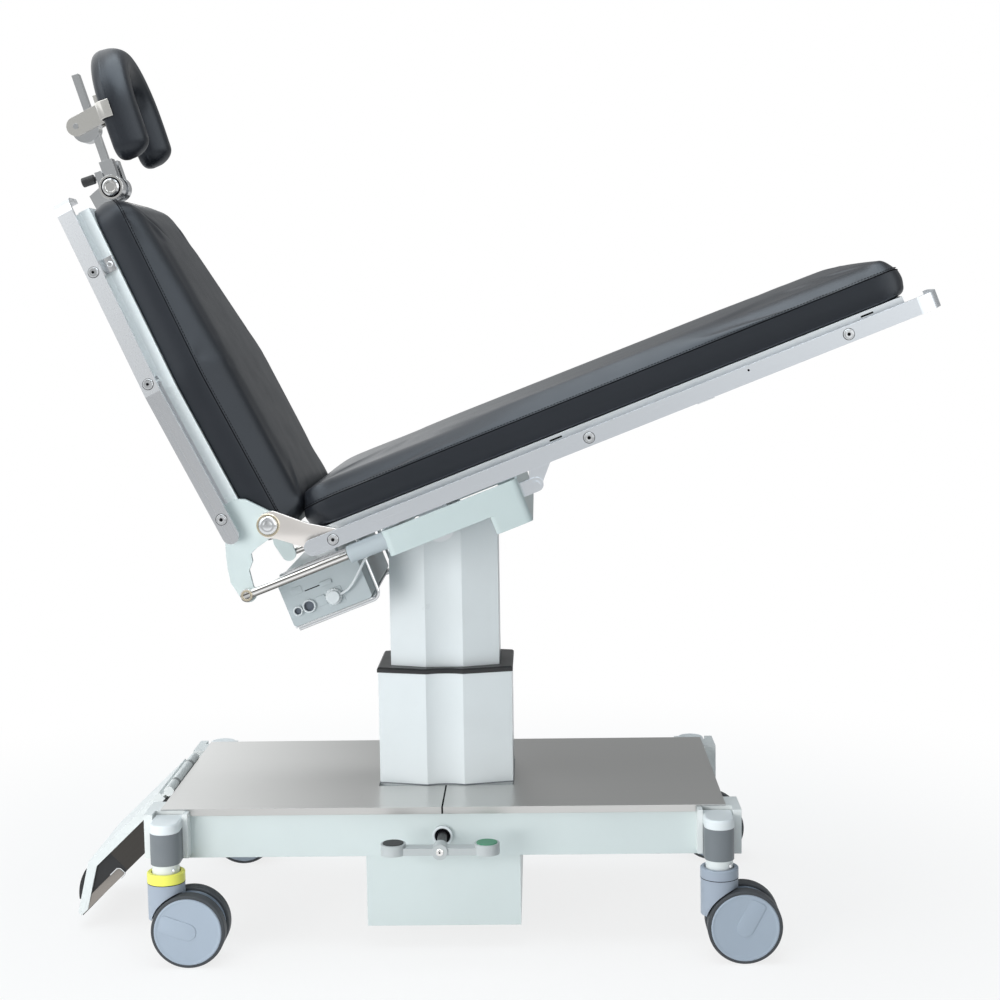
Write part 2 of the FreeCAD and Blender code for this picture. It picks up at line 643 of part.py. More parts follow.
def make_foot_control():
    """Hung foot control: bent white shell, steel box, black base and two rocking pedals."""
    wide = FOOT_HALF_WIDTH
    end_low = FOOT_SLOPE_DROP + FOOT_SHELL / 2
    profile = [(FOOT_TOP, 0), (FOOT_FLAT, 0), (FOOT_END, FOOT_SLOPE_DROP), (FOOT_END, end_low),
               (FOOT_END - FOOT_SHELL, end_low), (FOOT_FLAT - FOOT_SHELL / 3, FOOT_SHELL),
               (FOOT_TOP, FOOT_SHELL)]
    shell = slab_xz(profile, -wide, wide)
    knuckle_z = FOOT_HINGE_DEPTH
    gap = SLIDE_GAP
    ear_in = FOOT_EAR_Y - FOOT_EAR_WIDTH / 2 - gap
    ear_out = FOOT_EAR_Y + FOOT_EAR_WIDTH / 2 + gap
    knuckles = []
    for y0, y1 in ((-ear_in, ear_in), (ear_out, wide), (-wide, -ear_out)):
        barrel = bar_y(0, knuckle_z, y0, y1, FOOT_KNUCKLE_RADIUS)
        neck = box(0, FOOT_TOP, y0, y1, knuckle_z - FOOT_KNUCKLE_RADIUS / 2, knuckle_z)
        knuckles += [barrel, neck]
    pin = bar_y(0, knuckle_z, -wide, wide, FOOT_PIN_RADIUS)
    save("foot_control_shell", [on_foot_control(join([shell, pin] + knuckles))])
    inset = wide - FOOT_BOX_INSET
    steel = box(FOOT_BOX_START, FOOT_BOX_END, -inset, inset, FOOT_SHELL, FOOT_DEPTH)
    save("foot_control_box", [on_foot_control(steel)])
    under = [(FOOT_BOX_END, FOOT_SHELL), (FOOT_FLAT - FOOT_SHELL / 3, FOOT_SHELL),
             (FOOT_END - FOOT_SHELL, end_low), (FOOT_END, end_low), (FOOT_END, FOOT_DEPTH + FOOT_SHELL / 8),
             (FOOT_END - FOOT_SHELL, FOOT_DEPTH + FOOT_SHELL / 8), (FOOT_BOX_END, FOOT_DEPTH)]
    save("foot_control_base", [on_foot_control(slab_xz(under, -inset, inset))])
    make_pedals()
    make_foot_bracket()


def make_pedals():
    """Two domed rocking pedals over the sloping part of the foot control."""
    middle = (FOOT_FLAT + FOOT_SLOPE_RUN / 2, FOOT_SLOPE_DROP / 2)
    low = -PEDAL_LIFT
    edge = low - PEDAL_EDGE
    crown = edge - PEDAL_CROWN
    half = PEDAL_HALF_LENGTH
    for name, y in (("foot_pedal_lift", -PEDAL_Y), ("foot_pedal_back", PEDAL_Y)):
        y0 = y - PEDAL_HALF_WIDTH
        arc = Part.Arc(V(-half, y0, edge), V(0, y0, crown), V(half, y0, edge)).toShape()
        sides = [Part.makeLine(V(half, y0, edge), V(half, y0, low)),
                 Part.makeLine(V(half, y0, low), V(-half, y0, low)),
                 Part.makeLine(V(-half, y0, low), V(-half, y0, edge))]
        face = Part.Face(Part.Wire([arc] + sides))
        pedal = face.extrude(V(0, 2 * PEDAL_HALF_WIDTH, 0))
        rib_radius = PEDAL_LIFT / 2
        rib_z = low + PEDAL_LIFT - rib_radius - SLIDE_GAP
        rib = join([bar_y(0, rib_z, y0, y0 + 2 * PEDAL_HALF_WIDTH, rib_radius),
                    box(-rib_radius, rib_radius, y0, y0 + 2 * PEDAL_HALF_WIDTH, low, rib_z)])
        tipped = place(join([pedal, rib]), (middle[0], 0, middle[1]), -SLOPE_TURN)
        save(name, [on_foot_control(tipped)])


def make_foot_bracket():
    """Two painted ears on the end of the base that carry the foot control's hinge pin."""
    end_x = -FRAME_LENGTH / 2
    clear_top = COVER_TOP - COVER_LIP - SHEET_GAP
    out_x = -COVER_LENGTH / 2 - SHEET_GAP
    ears = []
    for side in (-1, 1):
        y0 = side * FOOT_EAR_Y - FOOT_EAR_WIDTH / 2
        y1 = y0 + FOOT_EAR_WIDTH
        low = clear_top - 3 * FOOT_EAR_WIDTH
        arm = box(FOOT_HINGE_X - FOOT_PIN_RADIUS, end_x, y0, y1, low, clear_top)
        post = box(FOOT_HINGE_X - FOOT_PIN_RADIUS, out_x, y0, y1, clear_top, FOOT_HINGE_Z)
        eye = bar_y(FOOT_HINGE_X, FOOT_HINGE_Z, y0, y1, FOOT_KNUCKLE_RADIUS)
        keep = box(FOOT_HINGE_X - 2 * FOOT_KNUCKLE_RADIUS, out_x, y0, y1, clear_top,
                   FOOT_HINGE_Z + 2 * FOOT_KNUCKLE_RADIUS)
        ear = join([arm, post, eye.common(keep)])
        ears.append(ear.cut(bar_y(FOOT_HINGE_X, FOOT_HINGE_Z, y0, y1, FOOT_PIN_RADIUS + RUN_FIT)))
    save("foot_control_bracket", ears)


# Column

def make_column():
    """Fixed shroud, black collar, sliding column with its head block, and the lift cylinder."""
    shroud = column_slab(SHROUD_HALF_LENGTH, SHROUD_HALF_DEPTH, True, SHROUD_FLOOR, SHROUD_TOP)
    bore_size = (COLUMN_HALF_LENGTH + COLUMN_RUN_GAP, COLUMN_HALF_DEPTH + COLUMN_RUN_GAP)
    bore = column_slab(*bore_size, False, SHROUD_FLOOR, SHROUD_TOP)
    save("column_shroud", [shroud.cut(bore)])
    collar_top = SHROUD_TOP + COLLAR_HEIGHT
    brim_z = SHROUD_TOP + COLLAR_HEIGHT * 2 / 3
    brim_size = (SHROUD_HALF_LENGTH + COLLAR_OVERHANG, SHROUD_HALF_DEPTH + COLLAR_OVERHANG)
    brim = column_wire(*brim_size, brim_z, True)
    crest = column_wire(SHROUD_HALF_LENGTH - COLLAR_BEVEL, SHROUD_HALF_DEPTH - COLLAR_BEVEL, collar_top, True)
    upper = Part.makeLoft([brim, crest], True, True)
    collar = join([column_slab(*brim_size, True, SHROUD_TOP, brim_z), upper])
    wiper_size = (COLUMN_HALF_LENGTH + SLIDE_GAP, COLUMN_HALF_DEPTH + SLIDE_GAP)
    wiper = column_slab(*wiper_size, False, SHROUD_TOP, collar_top)
    save("column_collar", [collar.cut(wiper)])
    half = COLUMN_HALF_LENGTH
    column = column_slab(half, COLUMN_HALF_DEPTH, True, COLUMN_BOTTOM, COLUMN_TOP + half)
    bore_x = half - COLUMN_WALL
    bore_y = COLUMN_HALF_DEPTH - CORNER_SETBACK - COLUMN_WALL
    column = column.cut(box(-bore_x, bore_x, -bore_y, bore_y, COLUMN_BOTTOM, COLUMN_TOP + half))
    rise = half * math.tan(math.radians(COLUMN_SLOPE))
    above = slab_xz([(-half, COLUMN_TOP - rise), (half, COLUMN_TOP + rise), (half, COLUMN_TOP + 2 * half),
                     (-half, COLUMN_TOP + 2 * half)], -COLUMN_HALF_DEPTH, COLUMN_HALF_DEPTH)
    save("column_inner", [column.cut(above)])
    pivot = seat_point(TILT_U, TILT_W)
    plug = box(-bore_x, bore_x, -bore_y, bore_y, HEAD_BLOCK_BOTTOM, HEAD_BLOCK_BOTTOM + HEAD_BLOCK_HALF)
    neck_half = min(HEAD_BLOCK_HALF, TRUNNION_RADIUS)
    neck = box(pivot[0] - neck_half, pivot[0] + neck_half, -HEAD_BLOCK_DEPTH, HEAD_BLOCK_DEPTH,
               HEAD_BLOCK_BOTTOM, pivot[1])
    trunnion = bar_y(pivot[0], pivot[1], -HEAD_BLOCK_DEPTH, HEAD_BLOCK_DEPTH, TRUNNION_RADIUS)
    shaft_half = TUBE_Y + TILT_EAR_THICKNESS / 2 + 2 * SHEET_GAP
    shaft = bar_y(pivot[0], pivot[1], -shaft_half, shaft_half, TILT_SHAFT_RADIUS)
    lift_rod = bar_z(0, 0, LIFT_ROD_BOTTOM, HEAD_BLOCK_BOTTOM, LIFT_ROD_RADIUS)
    save("column_head", [join([plug, neck, trunnion, shaft, lift_rod])])
    cylinder = bar_z(0, 0, SHROUD_FLOOR, LIFT_CYLINDER_TOP, LIFT_CYLINDER_RADIUS)
    bore = bar_z(0, 0, SHROUD_FLOOR + 2 * POWER_BOX_WALL, LIFT_CYLINDER_TOP, LIFT_ROD_RADIUS + SLIDE_GAP)
    save("lift_cylinder", [cylinder.cut(bore)])


def seat_point(u, w):
    """X and Z of a point given in the seat's frame."""
    turn = math.radians(SEAT_TILT)
    x = HINGE_X + u * math.cos(turn) - w * math.sin(turn)
    z = HINGE_Z + u * math.sin(turn) + w * math.cos(turn)
    return x, z


def crank_on_seat():
    """The crank pin in the seat's frame while the back is raised."""
    turn = math.radians(SEAT_TILT + BACK_RAISE)
    u = CRANK_X * math.cos(turn) + CRANK_Z * math.sin(turn)
    w = CRANK_Z * math.cos(turn) - CRANK_X * math.sin(turn)
    return u, w


# Table top

RAIL_INNER_Y = RAIL_OUTER_Y - RAIL_THICKNESS
PAN_HALF_WIDTH = RAIL_INNER_Y - RAIL_GAP
CRANK_INNER_Y = PAN_HALF_WIDTH
CRANK_OUTER_Y = CRANK_INNER_Y + HINGE_PLATE
SEAT_PLATE_INNER_Y = CRANK_OUTER_Y + SLIDE_GAP
SEAT_PLATE_OUTER_Y = SEAT_PLATE_INNER_Y + HINGE_PLATE
ROD_Y = CRANK_OUTER_Y + SLIDE_GAP + ROD_RADIUS + SLIDE_GAP
RAIL_LOW = RAIL_W - RAIL_HEIGHT / 2
RAIL_HIGH = RAIL_W + RAIL_HEIGHT / 2
PAN_BOTTOM = PAN_TOP - PAN_DEPTH


def screw_head(x, z, y_face):
    """Socket head on the outer face of a rail."""
    head = bar_y(x, z, y_face, y_face + SCREW_HEAD_HEIGHT, SCREW_HEAD_RADIUS)
    socket = bar_y(x, z, y_face + SCREW_HEAD_HEIGHT / 3, y_face + SCREW_HEAD_HEIGHT, SCREW_SOCKET_RADIUS)
    return head.cut(socket)


def rounded_bar(x_round, x_far):
    """Flat rail bar on the far side with one round end."""
    radius = RAIL_HEIGHT / 2
    direction = 1 if x_far > x_round else -1
    centre = x_round + direction * radius
    low, high = sorted((centre, x_far))
    body = box(low, high, RAIL_INNER_Y, RAIL_OUTER_Y, RAIL_LOW, RAIL_HIGH)
    return join([body, bar_y(centre, RAIL_W, RAIL_INNER_Y, RAIL_OUTER_Y, radius)])


def make_seat_rails():
    """Side rails of the seat, bent inwards at the foot end, with spacers and screws."""
    bend_x = SEAT_RAIL_END - RAIL_BEND
    bend_y = RAIL_OUTER_Y - RAIL_BEND
    straight = rounded_bar(SEAT_RAIL_START, bend_x)
    ring = bar_z(bend_x, bend_y, RAIL_LOW, RAIL_HIGH, RAIL_BEND)
    ring = ring.cut(bar_z(bend_x, bend_y, RAIL_LOW, RAIL_HIGH, RAIL_BEND - RAIL_THICKNESS))
    corner = ring.common(box(bend_x, SEAT_RAIL_END, bend_y, RAIL_OUTER_Y, RAIL_LOW, RAIL_HIGH))
    leg = box(SEAT_RAIL_END - RAIL_THICKNESS, SEAT_RAIL_END, bend_y - RAIL_RETURN, bend_y,
              RAIL_LOW, RAIL_HIGH)
    rail = join([straight, corner, leg])
    save("seat_rails", [on_seat(solid) for solid in pair(rail)])
    pieces = []
    for u in SEAT_SCREWS:
        face_y = SEAT_PLATE_OUTER_Y if u < HINGE_PLATE_END else PAN_HALF_WIDTH
        spacer = bar_y(u, RAIL_W, face_y, RAIL_INNER_Y, SPACER_RADIUS)
        if u > HINGE_PLATE_END:
            tab = box(u - SPACER_RADIUS, u + SPACER_RADIUS, face_y - HINGE_PLATE, face_y,
                      RAIL_LOW, PAN_BOTTOM)
            spacer = join([spacer, tab])
        pieces += pair(spacer) + pair(screw_head(u, RAIL_W, RAIL_OUTER_Y))
    save("seat_fasteners", [on_seat(solid) for solid in pieces])


def make_seat_frame():
    """Folded pan on two long tubes with cross tubes, and the two ears on the tilt shaft."""
    wide = PAN_HALF_WIDTH
    pan = box(PAN_START, PAN_END, -wide, wide, PAN_BOTTOM, PAN_TOP)
    tray = box(PAN_START + PAN_SHEET, PAN_END - PAN_SHEET, PAN_SHEET - wide, wide - PAN_SHEET,
               PAN_BOTTOM, PAN_TOP - PAN_SHEET)
    pieces = [pan.cut(tray)]
    half = TUBE_WIDTH / 2
    inside = half - TUBE_WALL
    tube = box(TUBE_START, TUBE_END, TUBE_Y - half, TUBE_Y + half, TUBE_BOTTOM, PAN_BOTTOM)
    tube = tube.cut(box(TUBE_START, TUBE_END, TUBE_Y - inside, TUBE_Y + inside,
                        TUBE_BOTTOM + TUBE_WALL, PAN_BOTTOM - TUBE_WALL))
    pieces += pair(tube)
    for u in (COVER_START, COVER_END - TUBE_WIDTH, (COVER_END + TUBE_END) / 2):
        pieces.append(box(u, u + TUBE_WIDTH, half - TUBE_Y, TUBE_Y - half, TUBE_BOTTOM, PAN_BOTTOM))
        pieces += pair(box(u, u + TUBE_WIDTH, TUBE_Y + half, wide, TUBE_BOTTOM, PAN_BOTTOM))
    ear = TILT_EAR_THICKNESS / 2
    web = box(TILT_U - TILT_EAR_RADIUS, TILT_U + TILT_EAR_RADIUS, TUBE_Y - ear, TUBE_Y + ear,
              TILT_W, TUBE_BOTTOM)
    plate = join([web, bar_y(TILT_U, TILT_W, TUBE_Y - ear, TUBE_Y + ear, TILT_EAR_RADIUS)])
    plate = plate.cut(bar_y(TILT_U, TILT_W, TUBE_Y - ear, TUBE_Y + ear, TILT_SHAFT_RADIUS + RUN_FIT))
    pieces += pair(plate)
    hanger = box(TUBE_START, BOX_END - TUBE_WIDTH, TUBE_Y - half, TUBE_Y + half, BOX_TOP, TUBE_BOTTOM)
    pieces += pair(hanger)
    save("seat_frame", [on_seat(piece) for piece in pieces])


def make_hinge_plates():
    """Seat-side hinge plates that carry the back's hinge pins."""
    tail = [(PAN_START, PAN_TOP), (HINGE_PLATE_END, PAN_TOP), (HINGE_PLATE_END, RAIL_LOW + 2),
            (PAN_START, RAIL_LOW + 2), (0, -HINGE_EYE_RADIUS),
            (HINGE_EYE_RADIUS / 2, HINGE_EYE_RADIUS * 0.86)]
    plate = join([slab_xz(tail, SEAT_PLATE_INNER_Y, SEAT_PLATE_OUTER_Y),
                  bar_y(0, 0, SEAT_PLATE_INNER_Y, SEAT_PLATE_OUTER_Y, HINGE_EYE_RADIUS)])
    plate = plate.cut(bar_y(0, 0, SEAT_PLATE_INNER_Y, SEAT_PLATE_OUTER_Y, HINGE_PIN_RADIUS + RUN_FIT))
    foot = box(PAN_START + HINGE_PLATE, HINGE_PLATE_END, PAN_HALF_WIDTH, SEAT_PLATE_INNER_Y,
               PAN_BOTTOM, PAN_TOP)
    save("seat_hinge_plates", [on_seat(solid) for solid in pair(join([plate, foot]))])


def make_tilt_cover():
    """Skirt round the tilt head under the seat, open above and below, stepped at its foot end."""
    half = COVER_HALF_WIDTH
    outline = [(COVER_START, TUBE_BOTTOM), (COVER_END, TUBE_BOTTOM), (COVER_END, COVER_LOWEST),
               (COVER_STEP, COVER_LOWEST), (COVER_STEP, COVER_LOW), (COVER_START, COVER_LOW)]
    wall = COVER_WALL
    hollow = box(COVER_START + wall, COVER_END - wall, wall - half, half - wall, COVER_LOWEST, TUBE_BOTTOM)
    cover = slab_xz(outline, -half, half)
    cover = round_edges(cover, 3 * wall,
                        lambda edge: runs_along(edge, V(0, 0, 1)) and edge.Length > 2 * wall)
    cover = cover.cut(hollow)
    _, rod_w = crank_on_seat()
    for y in (-ROD_Y, ROD_Y):
        cover = cover.cut(rod((COVER_START, y, rod_w), (COVER_START + wall, y, rod_w),
                              ACTUATOR_RADIUS + SLIDE_GAP))
    save("tilt_cover", [on_seat(cover)])


def make_actuators():
    """Back actuators: sleeves fixed to the seat, and rods whose eyes lie on the cranks."""
    eye_u, rod_w = crank_on_seat()
    sleeve = rod((SLEEVE_MOUTH, ROD_Y, rod_w), (SLEEVE_END, ROD_Y, rod_w), ACTUATOR_RADIUS)
    bore = rod((SLEEVE_MOUTH, ROD_Y, rod_w), (SLEEVE_END - ACTUATOR_RADIUS, ROD_Y, rod_w),
               ROD_RADIUS + SLIDE_GAP)
    sleeve = round_edges(sleeve, ACTUATOR_RADIUS / 6, lambda edge: edge.Curve.TypeId == "Part::GeomCircle")
    save("actuator_sleeves", [on_seat(solid) for solid in pair(sleeve.cut(bore))])
    shank = rod((eye_u, ROD_Y, rod_w), (SLEEVE_MOUTH + ROD_INSERTION, ROD_Y, rod_w), ROD_RADIUS)
    eye_half = ROD_RADIUS + SLIDE_GAP
    eye = bar_y(eye_u, rod_w, ROD_Y - eye_half, ROD_Y + eye_half, EYE_RADIUS)
    pin_end = ROD_Y + eye_half
    pin = bar_y(eye_u, rod_w, pin_end - SHEET_GAP, pin_end + SHEET_GAP, CRANK_PIN_RADIUS)
    save("actuator_rods", [on_seat(solid) for solid in pair(join([shank, eye, pin]))])


def make_clevises():
    """Steel clevis on the foot end of the tilt cover, with a lug from the pan and a pin."""
    half = HINGE_PLATE / 2
    lug_y = PAN_HALF_WIDTH - half
    top_half = 3 * half
    eye = 2 * CLEVIS_PIN_RADIUS
    lug = [(CLEVIS_U + eye / 2, PAN_BOTTOM), (CLEVIS_U + 5 * eye, PAN_BOTTOM), (CLEVIS_U + eye, CLEVIS_W),
           (CLEVIS_U - eye, CLEVIS_W)]
    plate = join([slab_xz(lug, lug_y - half, lug_y + half),
                  bar_y(CLEVIS_U, CLEVIS_W, lug_y - half, lug_y + half, eye)])
    solids = []
    for inner, outer in ((lug_y + half, lug_y + top_half), (lug_y - top_half, lug_y - half)):
        cheek = box(COVER_END, CLEVIS_U, inner, outer, CLEVIS_W - eye, CLEVIS_W + eye)
        cheek = join([cheek, bar_y(CLEVIS_U, CLEVIS_W, inner, outer, eye)])
        solids.append(cheek)
    pin = bar_y(CLEVIS_U, CLEVIS_W, lug_y - 2 * top_half, lug_y + 2 * top_half, CLEVIS_PIN_RADIUS)
    solids = [solid.cut(pin) for solid in solids + [plate]] + [pin]
    both = [twin for solid in solids for twin in pair(solid)]
    save("tilt_clevises", [on_seat(solid) for solid in both])


def make_control_box():
    """Control box across the seat, its tray with wire guards, sockets, plug and short lead."""
    wide = BOX_HALF_WIDTH
    wall = BOX_WALL
    outer = box(BOX_START, BOX_END, -wide, wide, BOX_BOTTOM, BOX_TOP)
    outer = round_edges(outer, 2 * wall, lambda edge: runs_along(edge, V(0, 1, 0)))
    inner = box(BOX_START + wall, BOX_END - wall, wall - wide, wide - wall,
                BOX_BOTTOM + wall, BOX_TOP - wall)
    save("control_box", [on_seat(outer.cut(inner))])
    tray_low = BOX_BOTTOM - TRAY_SHEET
    sheet = box(BOX_START, BOX_END, -wide, wide, tray_low, BOX_BOTTOM)
    radius = TRAY_WIRE_RADIUS
    wire_u = BOX_END + 3 * radius
    hook_w = tray_low - radius
    wires = []
    for y in (-TRAY_WIRE_Y, TRAY_WIRE_Y):
        upright = rod((wire_u, y, hook_w), (wire_u, y, TUBE_BOTTOM), radius)
        lower = rod((wire_u, y, hook_w), (BOX_START + 3 * radius, y, hook_w), radius)
        wires += [upright, lower, Part.makeSphere(radius, V(wire_u, y, hook_w))]
    save("control_tray", [on_seat(join([sheet] + wires))])
    sockets = []
    for u, w, size in SOCKETS:
        rim = bar_y(u, w, -wide - SOCKET_PROUD, -wide, size)
        well = bar_y(u, w, -wide - SOCKET_PROUD, -wide - SOCKET_PROUD / 5, size * 0.78)
        sockets.append(rim.cut(well))
    save("control_sockets", [on_seat(solid) for solid in sockets])
    body = bar_y(PLUG_U, PLUG_W, -wide - PLUG_LENGTH, -wide, PLUG_RADIUS)
    body = round_edges(body, PLUG_RADIUS / 6, lambda edge: edge.BoundBox.YMax < -wide - PLUG_LENGTH / 2
                       and edge.Curve.TypeId == "Part::GeomCircle")
    save("control_plug", [on_seat(body)])
    save("control_lead", [on_seat(make_lead())])


def make_lead():
    """Thin lead from the plug to the tilt head: straight runs joined by tangent arcs."""
    points = [V(*point) for point in LEAD_ROUTE]
    edges = []
    start = points[0]
    for before, corner, after in zip(points, points[1:], points[2:]):
        into = (corner - before).normalize()
        out = (after - corner).normalize()
        half_turn = into.getAngle(out) / 2
        setback = 0.45 * min((corner - before).Length, (after - corner).Length)
        first = corner - into * setback
        last = corner + out * setback
        inward = (out - into).normalize()
        bend = setback / math.tan(half_turn)
        mid = corner + inward * (math.hypot(bend, setback) - bend)
        edges.append(Part.makeLine(start, first))
        edges.append(Part.Arc(first, mid, last).toShape())
        start = last
    edges.append(Part.makeLine(start, points[-1]))
    path = Part.Wire(edges)
    circle = Part.Wire(Part.makeCircle(LEAD_RADIUS, points[0], points[1] - points[0]))
    return path.makePipeShell([circle], True, False)


ROUND_SHARES = (0.0, 0.05, 0.2, 0.5, 1.0)


def cushion_section(x, low, half, seam, top):
    """One cross-section: flat base, upright sides to the seam, round shoulders, crowned top."""
    reach = CUSHION_SHOULDER
    crown = min(CUSHION_CROWN, (top - seam) / 3)
    edge = low + seam
    rise = top - seam - crown
    bend = 1 - math.sqrt(0.5)
    shoulder = low + top - crown
    sides = []
    for side in (1, -1):
        foot = V(x, side * half, low)
        hem = V(x, side * half, edge)
        middle = V(x, side * (half - reach * bend), shoulder - rise * bend)
        last = V(x, side * (half - reach), shoulder)
        sides.append((foot, hem, middle, last))
    near, far = sides
    roof = Part.Arc(near[3], V(x, 0, low + top), far[3]).toShape()
    return Part.Wire([Part.makeLine(far[0], near[0]), Part.makeLine(near[0], near[1]),
                      Part.Arc(near[1], near[2], near[3]).toShape(), roof,
                      Part.Arc(far[3], far[2], far[1]).toShape(), Part.makeLine(far[1], far[0])])


def cushion(ends, rounds, low, seam, top_at, half_at, between):
    """Boxed cushion lofted along its length, with its sides drawn in and its ends rounded."""
    first, last = ends
    stations = [(first + share * rounds[0], share) for share in ROUND_SHARES]
    stations += [(x, 1.0) for x in between]
    stations += [(last - share * rounds[1], share) for share in reversed(ROUND_SHARES)]
    wires = []
    for x, share in stations:
        fullness = CUSHION_END_SHARE + (1 - CUSHION_END_SHARE) * math.sqrt(1 - (1 - share) ** 2)
        waist = math.sin(math.pi * (x - first) / (last - first))
        half = half_at(x) - CUSHION_DRAW_IN * waist
        wires.append(cushion_section(x, low, half, seam * fullness, top_at(x) * fullness))
    return Part.makeLoft(wires, True, True)


def make_cushions():
    """Seat and back cushions; the back one narrows and thins towards the head."""
    def seat_half(_):
        return RAIL_OUTER_Y - CUSHION_SIDE_GAP

    def seat_top(x):
        share = (x - SEAT_CUSHION_START) / (SEAT_CUSHION_END - SEAT_CUSHION_START)
        return SEAT_TOP_HEAD + share * (SEAT_TOP_FOOT - SEAT_TOP_HEAD)

    def back_half(x):
        return back_rail_y(-x) - CUSHION_SIDE_GAP

    def back_top(x):
        share = max(0.0, (-x - TAPER_START) / (BACK_CUSHION_END - TAPER_START))
        return BACK_TOP_LOW + share * (BACK_TOP_HIGH - BACK_TOP_LOW)

    seat = cushion((SEAT_CUSHION_START, SEAT_CUSHION_END), (SEAT_HEAD_ROUND, SEAT_FOOT_ROUND), PAN_TOP,
                   SEAT_CUSHION_SEAM, seat_top, seat_half, ((SEAT_CUSHION_START + SEAT_CUSHION_END) / 2,))
    save("seat_cushion", [on_seat(seat)])
    back = cushion((-BACK_CUSHION_END, -BACK_CUSHION_START), (BACK_HIGH_ROUND, BACK_LOW_ROUND),
                   BACK_PAN_TOP, BACK_CUSHION_SEAM, back_top, back_half, (-TAPER_START,))
    save("back_cushion", [on_back(back)])


# Back section

def back_rail_y(distance):
    """Outer face of a back rail at a distance from the hinge: parallel, then tapering."""
    if distance <= TAPER_START:
        return RAIL_OUTER_Y
    share = (distance - TAPER_START) / (BACK_RAIL_END - TAPER_START)
    return RAIL_OUTER_Y + share * (BACK_RAIL_NARROW - RAIL_OUTER_Y)


def make_back():
    """Tapered pan, rails, cranks, hinge pins, fasteners and the mount for the headrest."""
    top_half = back_rail_y(BACK_PAN_END) - RAIL_THICKNESS - RAIL_GAP
    wide = PAN_HALF_WIDTH
    plan = [(-BACK_PAN_START, wide), (-TAPER_START, wide), (-BACK_PAN_END, top_half)]
    wall = PAN_SHEET
    hollow = [(-BACK_PAN_START - wall, wide - wall), (-TAPER_START, wide - wall),
              (wall - BACK_PAN_END, top_half - wall)]
    low = BACK_PAN_TOP - BACK_PAN_DEPTH
    pan = slab_xy(plan + [(x, -y) for x, y in reversed(plan)], low, BACK_PAN_TOP)
    pan = pan.cut(slab_xy(hollow + [(x, -y) for x, y in reversed(hollow)], low, BACK_PAN_TOP - wall))
    save("back_frame", [on_back(pan)])
    rail = make_back_rail()
    save("back_rails", [on_back(solid) for solid in pair(rail)])
    crank = make_crank()
    save("back_cranks", [on_back(solid) for solid in pair(crank)])
    pieces = []
    for distance in BACK_SCREWS:
        x = -distance
        inner_y = back_rail_y(distance) - RAIL_THICKNESS - RAIL_GAP
        if distance < -BACK_CRANK_TAIL:
            inner_y = CRANK_OUTER_Y
        spacer = bar_y(x, RAIL_W, inner_y - SPACER_RADIUS, RAIL_OUTER_Y, SPACER_RADIUS)
        tab_top = low
        tab = box(x - SPACER_RADIUS, x + SPACER_RADIUS, inner_y - HINGE_PLATE - SPACER_RADIUS, inner_y,
                  RAIL_LOW, tab_top)
        spacer = spacer.cut(rail).cut(crank).cut(pan)
        spacer = max(spacer.Solids, key=lambda solid: -abs(solid.CenterOfMass.y - inner_y))
        if distance > -BACK_CRANK_TAIL:
            spacer = join([spacer, tab])
        pieces += pair(spacer) + pair(screw_head(x, RAIL_W, back_rail_y(distance - SCREW_HEAD_RADIUS)))
    save("back_fasteners", [on_back(solid) for solid in pieces])
    shank = bar_y(0, 0, CRANK_INNER_Y, SEAT_PLATE_OUTER_Y + SLIDE_GAP, HINGE_PIN_RADIUS)
    head_y = SEAT_PLATE_OUTER_Y + SLIDE_GAP
    head = bar_y(0, 0, head_y, head_y + HINGE_HEAD_HEIGHT, HINGE_HEAD_RADIUS)
    head = round_edges(head, HINGE_HEAD_HEIGHT * 0.7, lambda edge: edge.BoundBox.YMin > head_y + 1e-3
                       and edge.Curve.TypeId == "Part::GeomCircle")
    save("hinge_pins", [on_back(solid) for solid in pair(join([shank, head]))])


def make_back_rail():
    """Far back rail: round lower end, parallel run, taper and an inward bend at the head end."""
    straight = rounded_bar(0, -TAPER_START)
    outer_end = BACK_RAIL_NARROW
    step = RAIL_THICKNESS
    plan = [(-TAPER_START, RAIL_OUTER_Y), (-BACK_RAIL_END, outer_end),
            (-BACK_RAIL_END, outer_end - BACK_RAIL_RETURN),
            (step - BACK_RAIL_END, outer_end - BACK_RAIL_RETURN),
            (step - BACK_RAIL_END, outer_end - step), (-TAPER_START, RAIL_INNER_Y)]
    bent = slab_xy(plan, RAIL_LOW, RAIL_HIGH)
    for x, y, radius in ((-BACK_RAIL_END, outer_end, BACK_RAIL_BEND),
                         (step - BACK_RAIL_END, outer_end - step, BACK_RAIL_BEND - step)):
        bent = round_edges(bent, radius, lambda edge: runs_along(edge, V(0, 0, 1))
                           and (edge.CenterOfMass - V(x, y, RAIL_W)).Length < 1)
    return join([straight, bent])


def make_crank():
    """Painted side plate of the back: from its rail round the hinge and down to the actuator eye."""
    outline = [(BACK_CRANK_TAIL, -30), (-56, -15), (-17, 13), (0, HINGE_EYE_RADIUS), (HINGE_EYE_RADIUS, 0),
               (25, -36), (29, -50), (42, -54), (52, -66), (CRANK_X - 8, CRANK_Z + CRANK_END_RADIUS),
               (CRANK_X, CRANK_Z + CRANK_END_RADIUS), (CRANK_X, CRANK_Z - CRANK_END_RADIUS), (57, -104),
               (33, -97), (13, -89), (-8, -79), (-38, RAIL_LOW), (BACK_CRANK_TAIL, RAIL_LOW)]
    plate = join([slab_xz(outline, CRANK_INNER_Y, CRANK_OUTER_Y),
                  bar_y(0, 0, CRANK_INNER_Y, CRANK_OUTER_Y, HINGE_EYE_RADIUS + 3),
                  bar_y(CRANK_X, CRANK_Z, CRANK_INNER_Y, CRANK_OUTER_Y, CRANK_END_RADIUS)])
    return plate.cut(bar_y(0, 0, CRANK_INNER_Y, CRANK_OUTER_Y, HINGE_PIN_RADIUS))


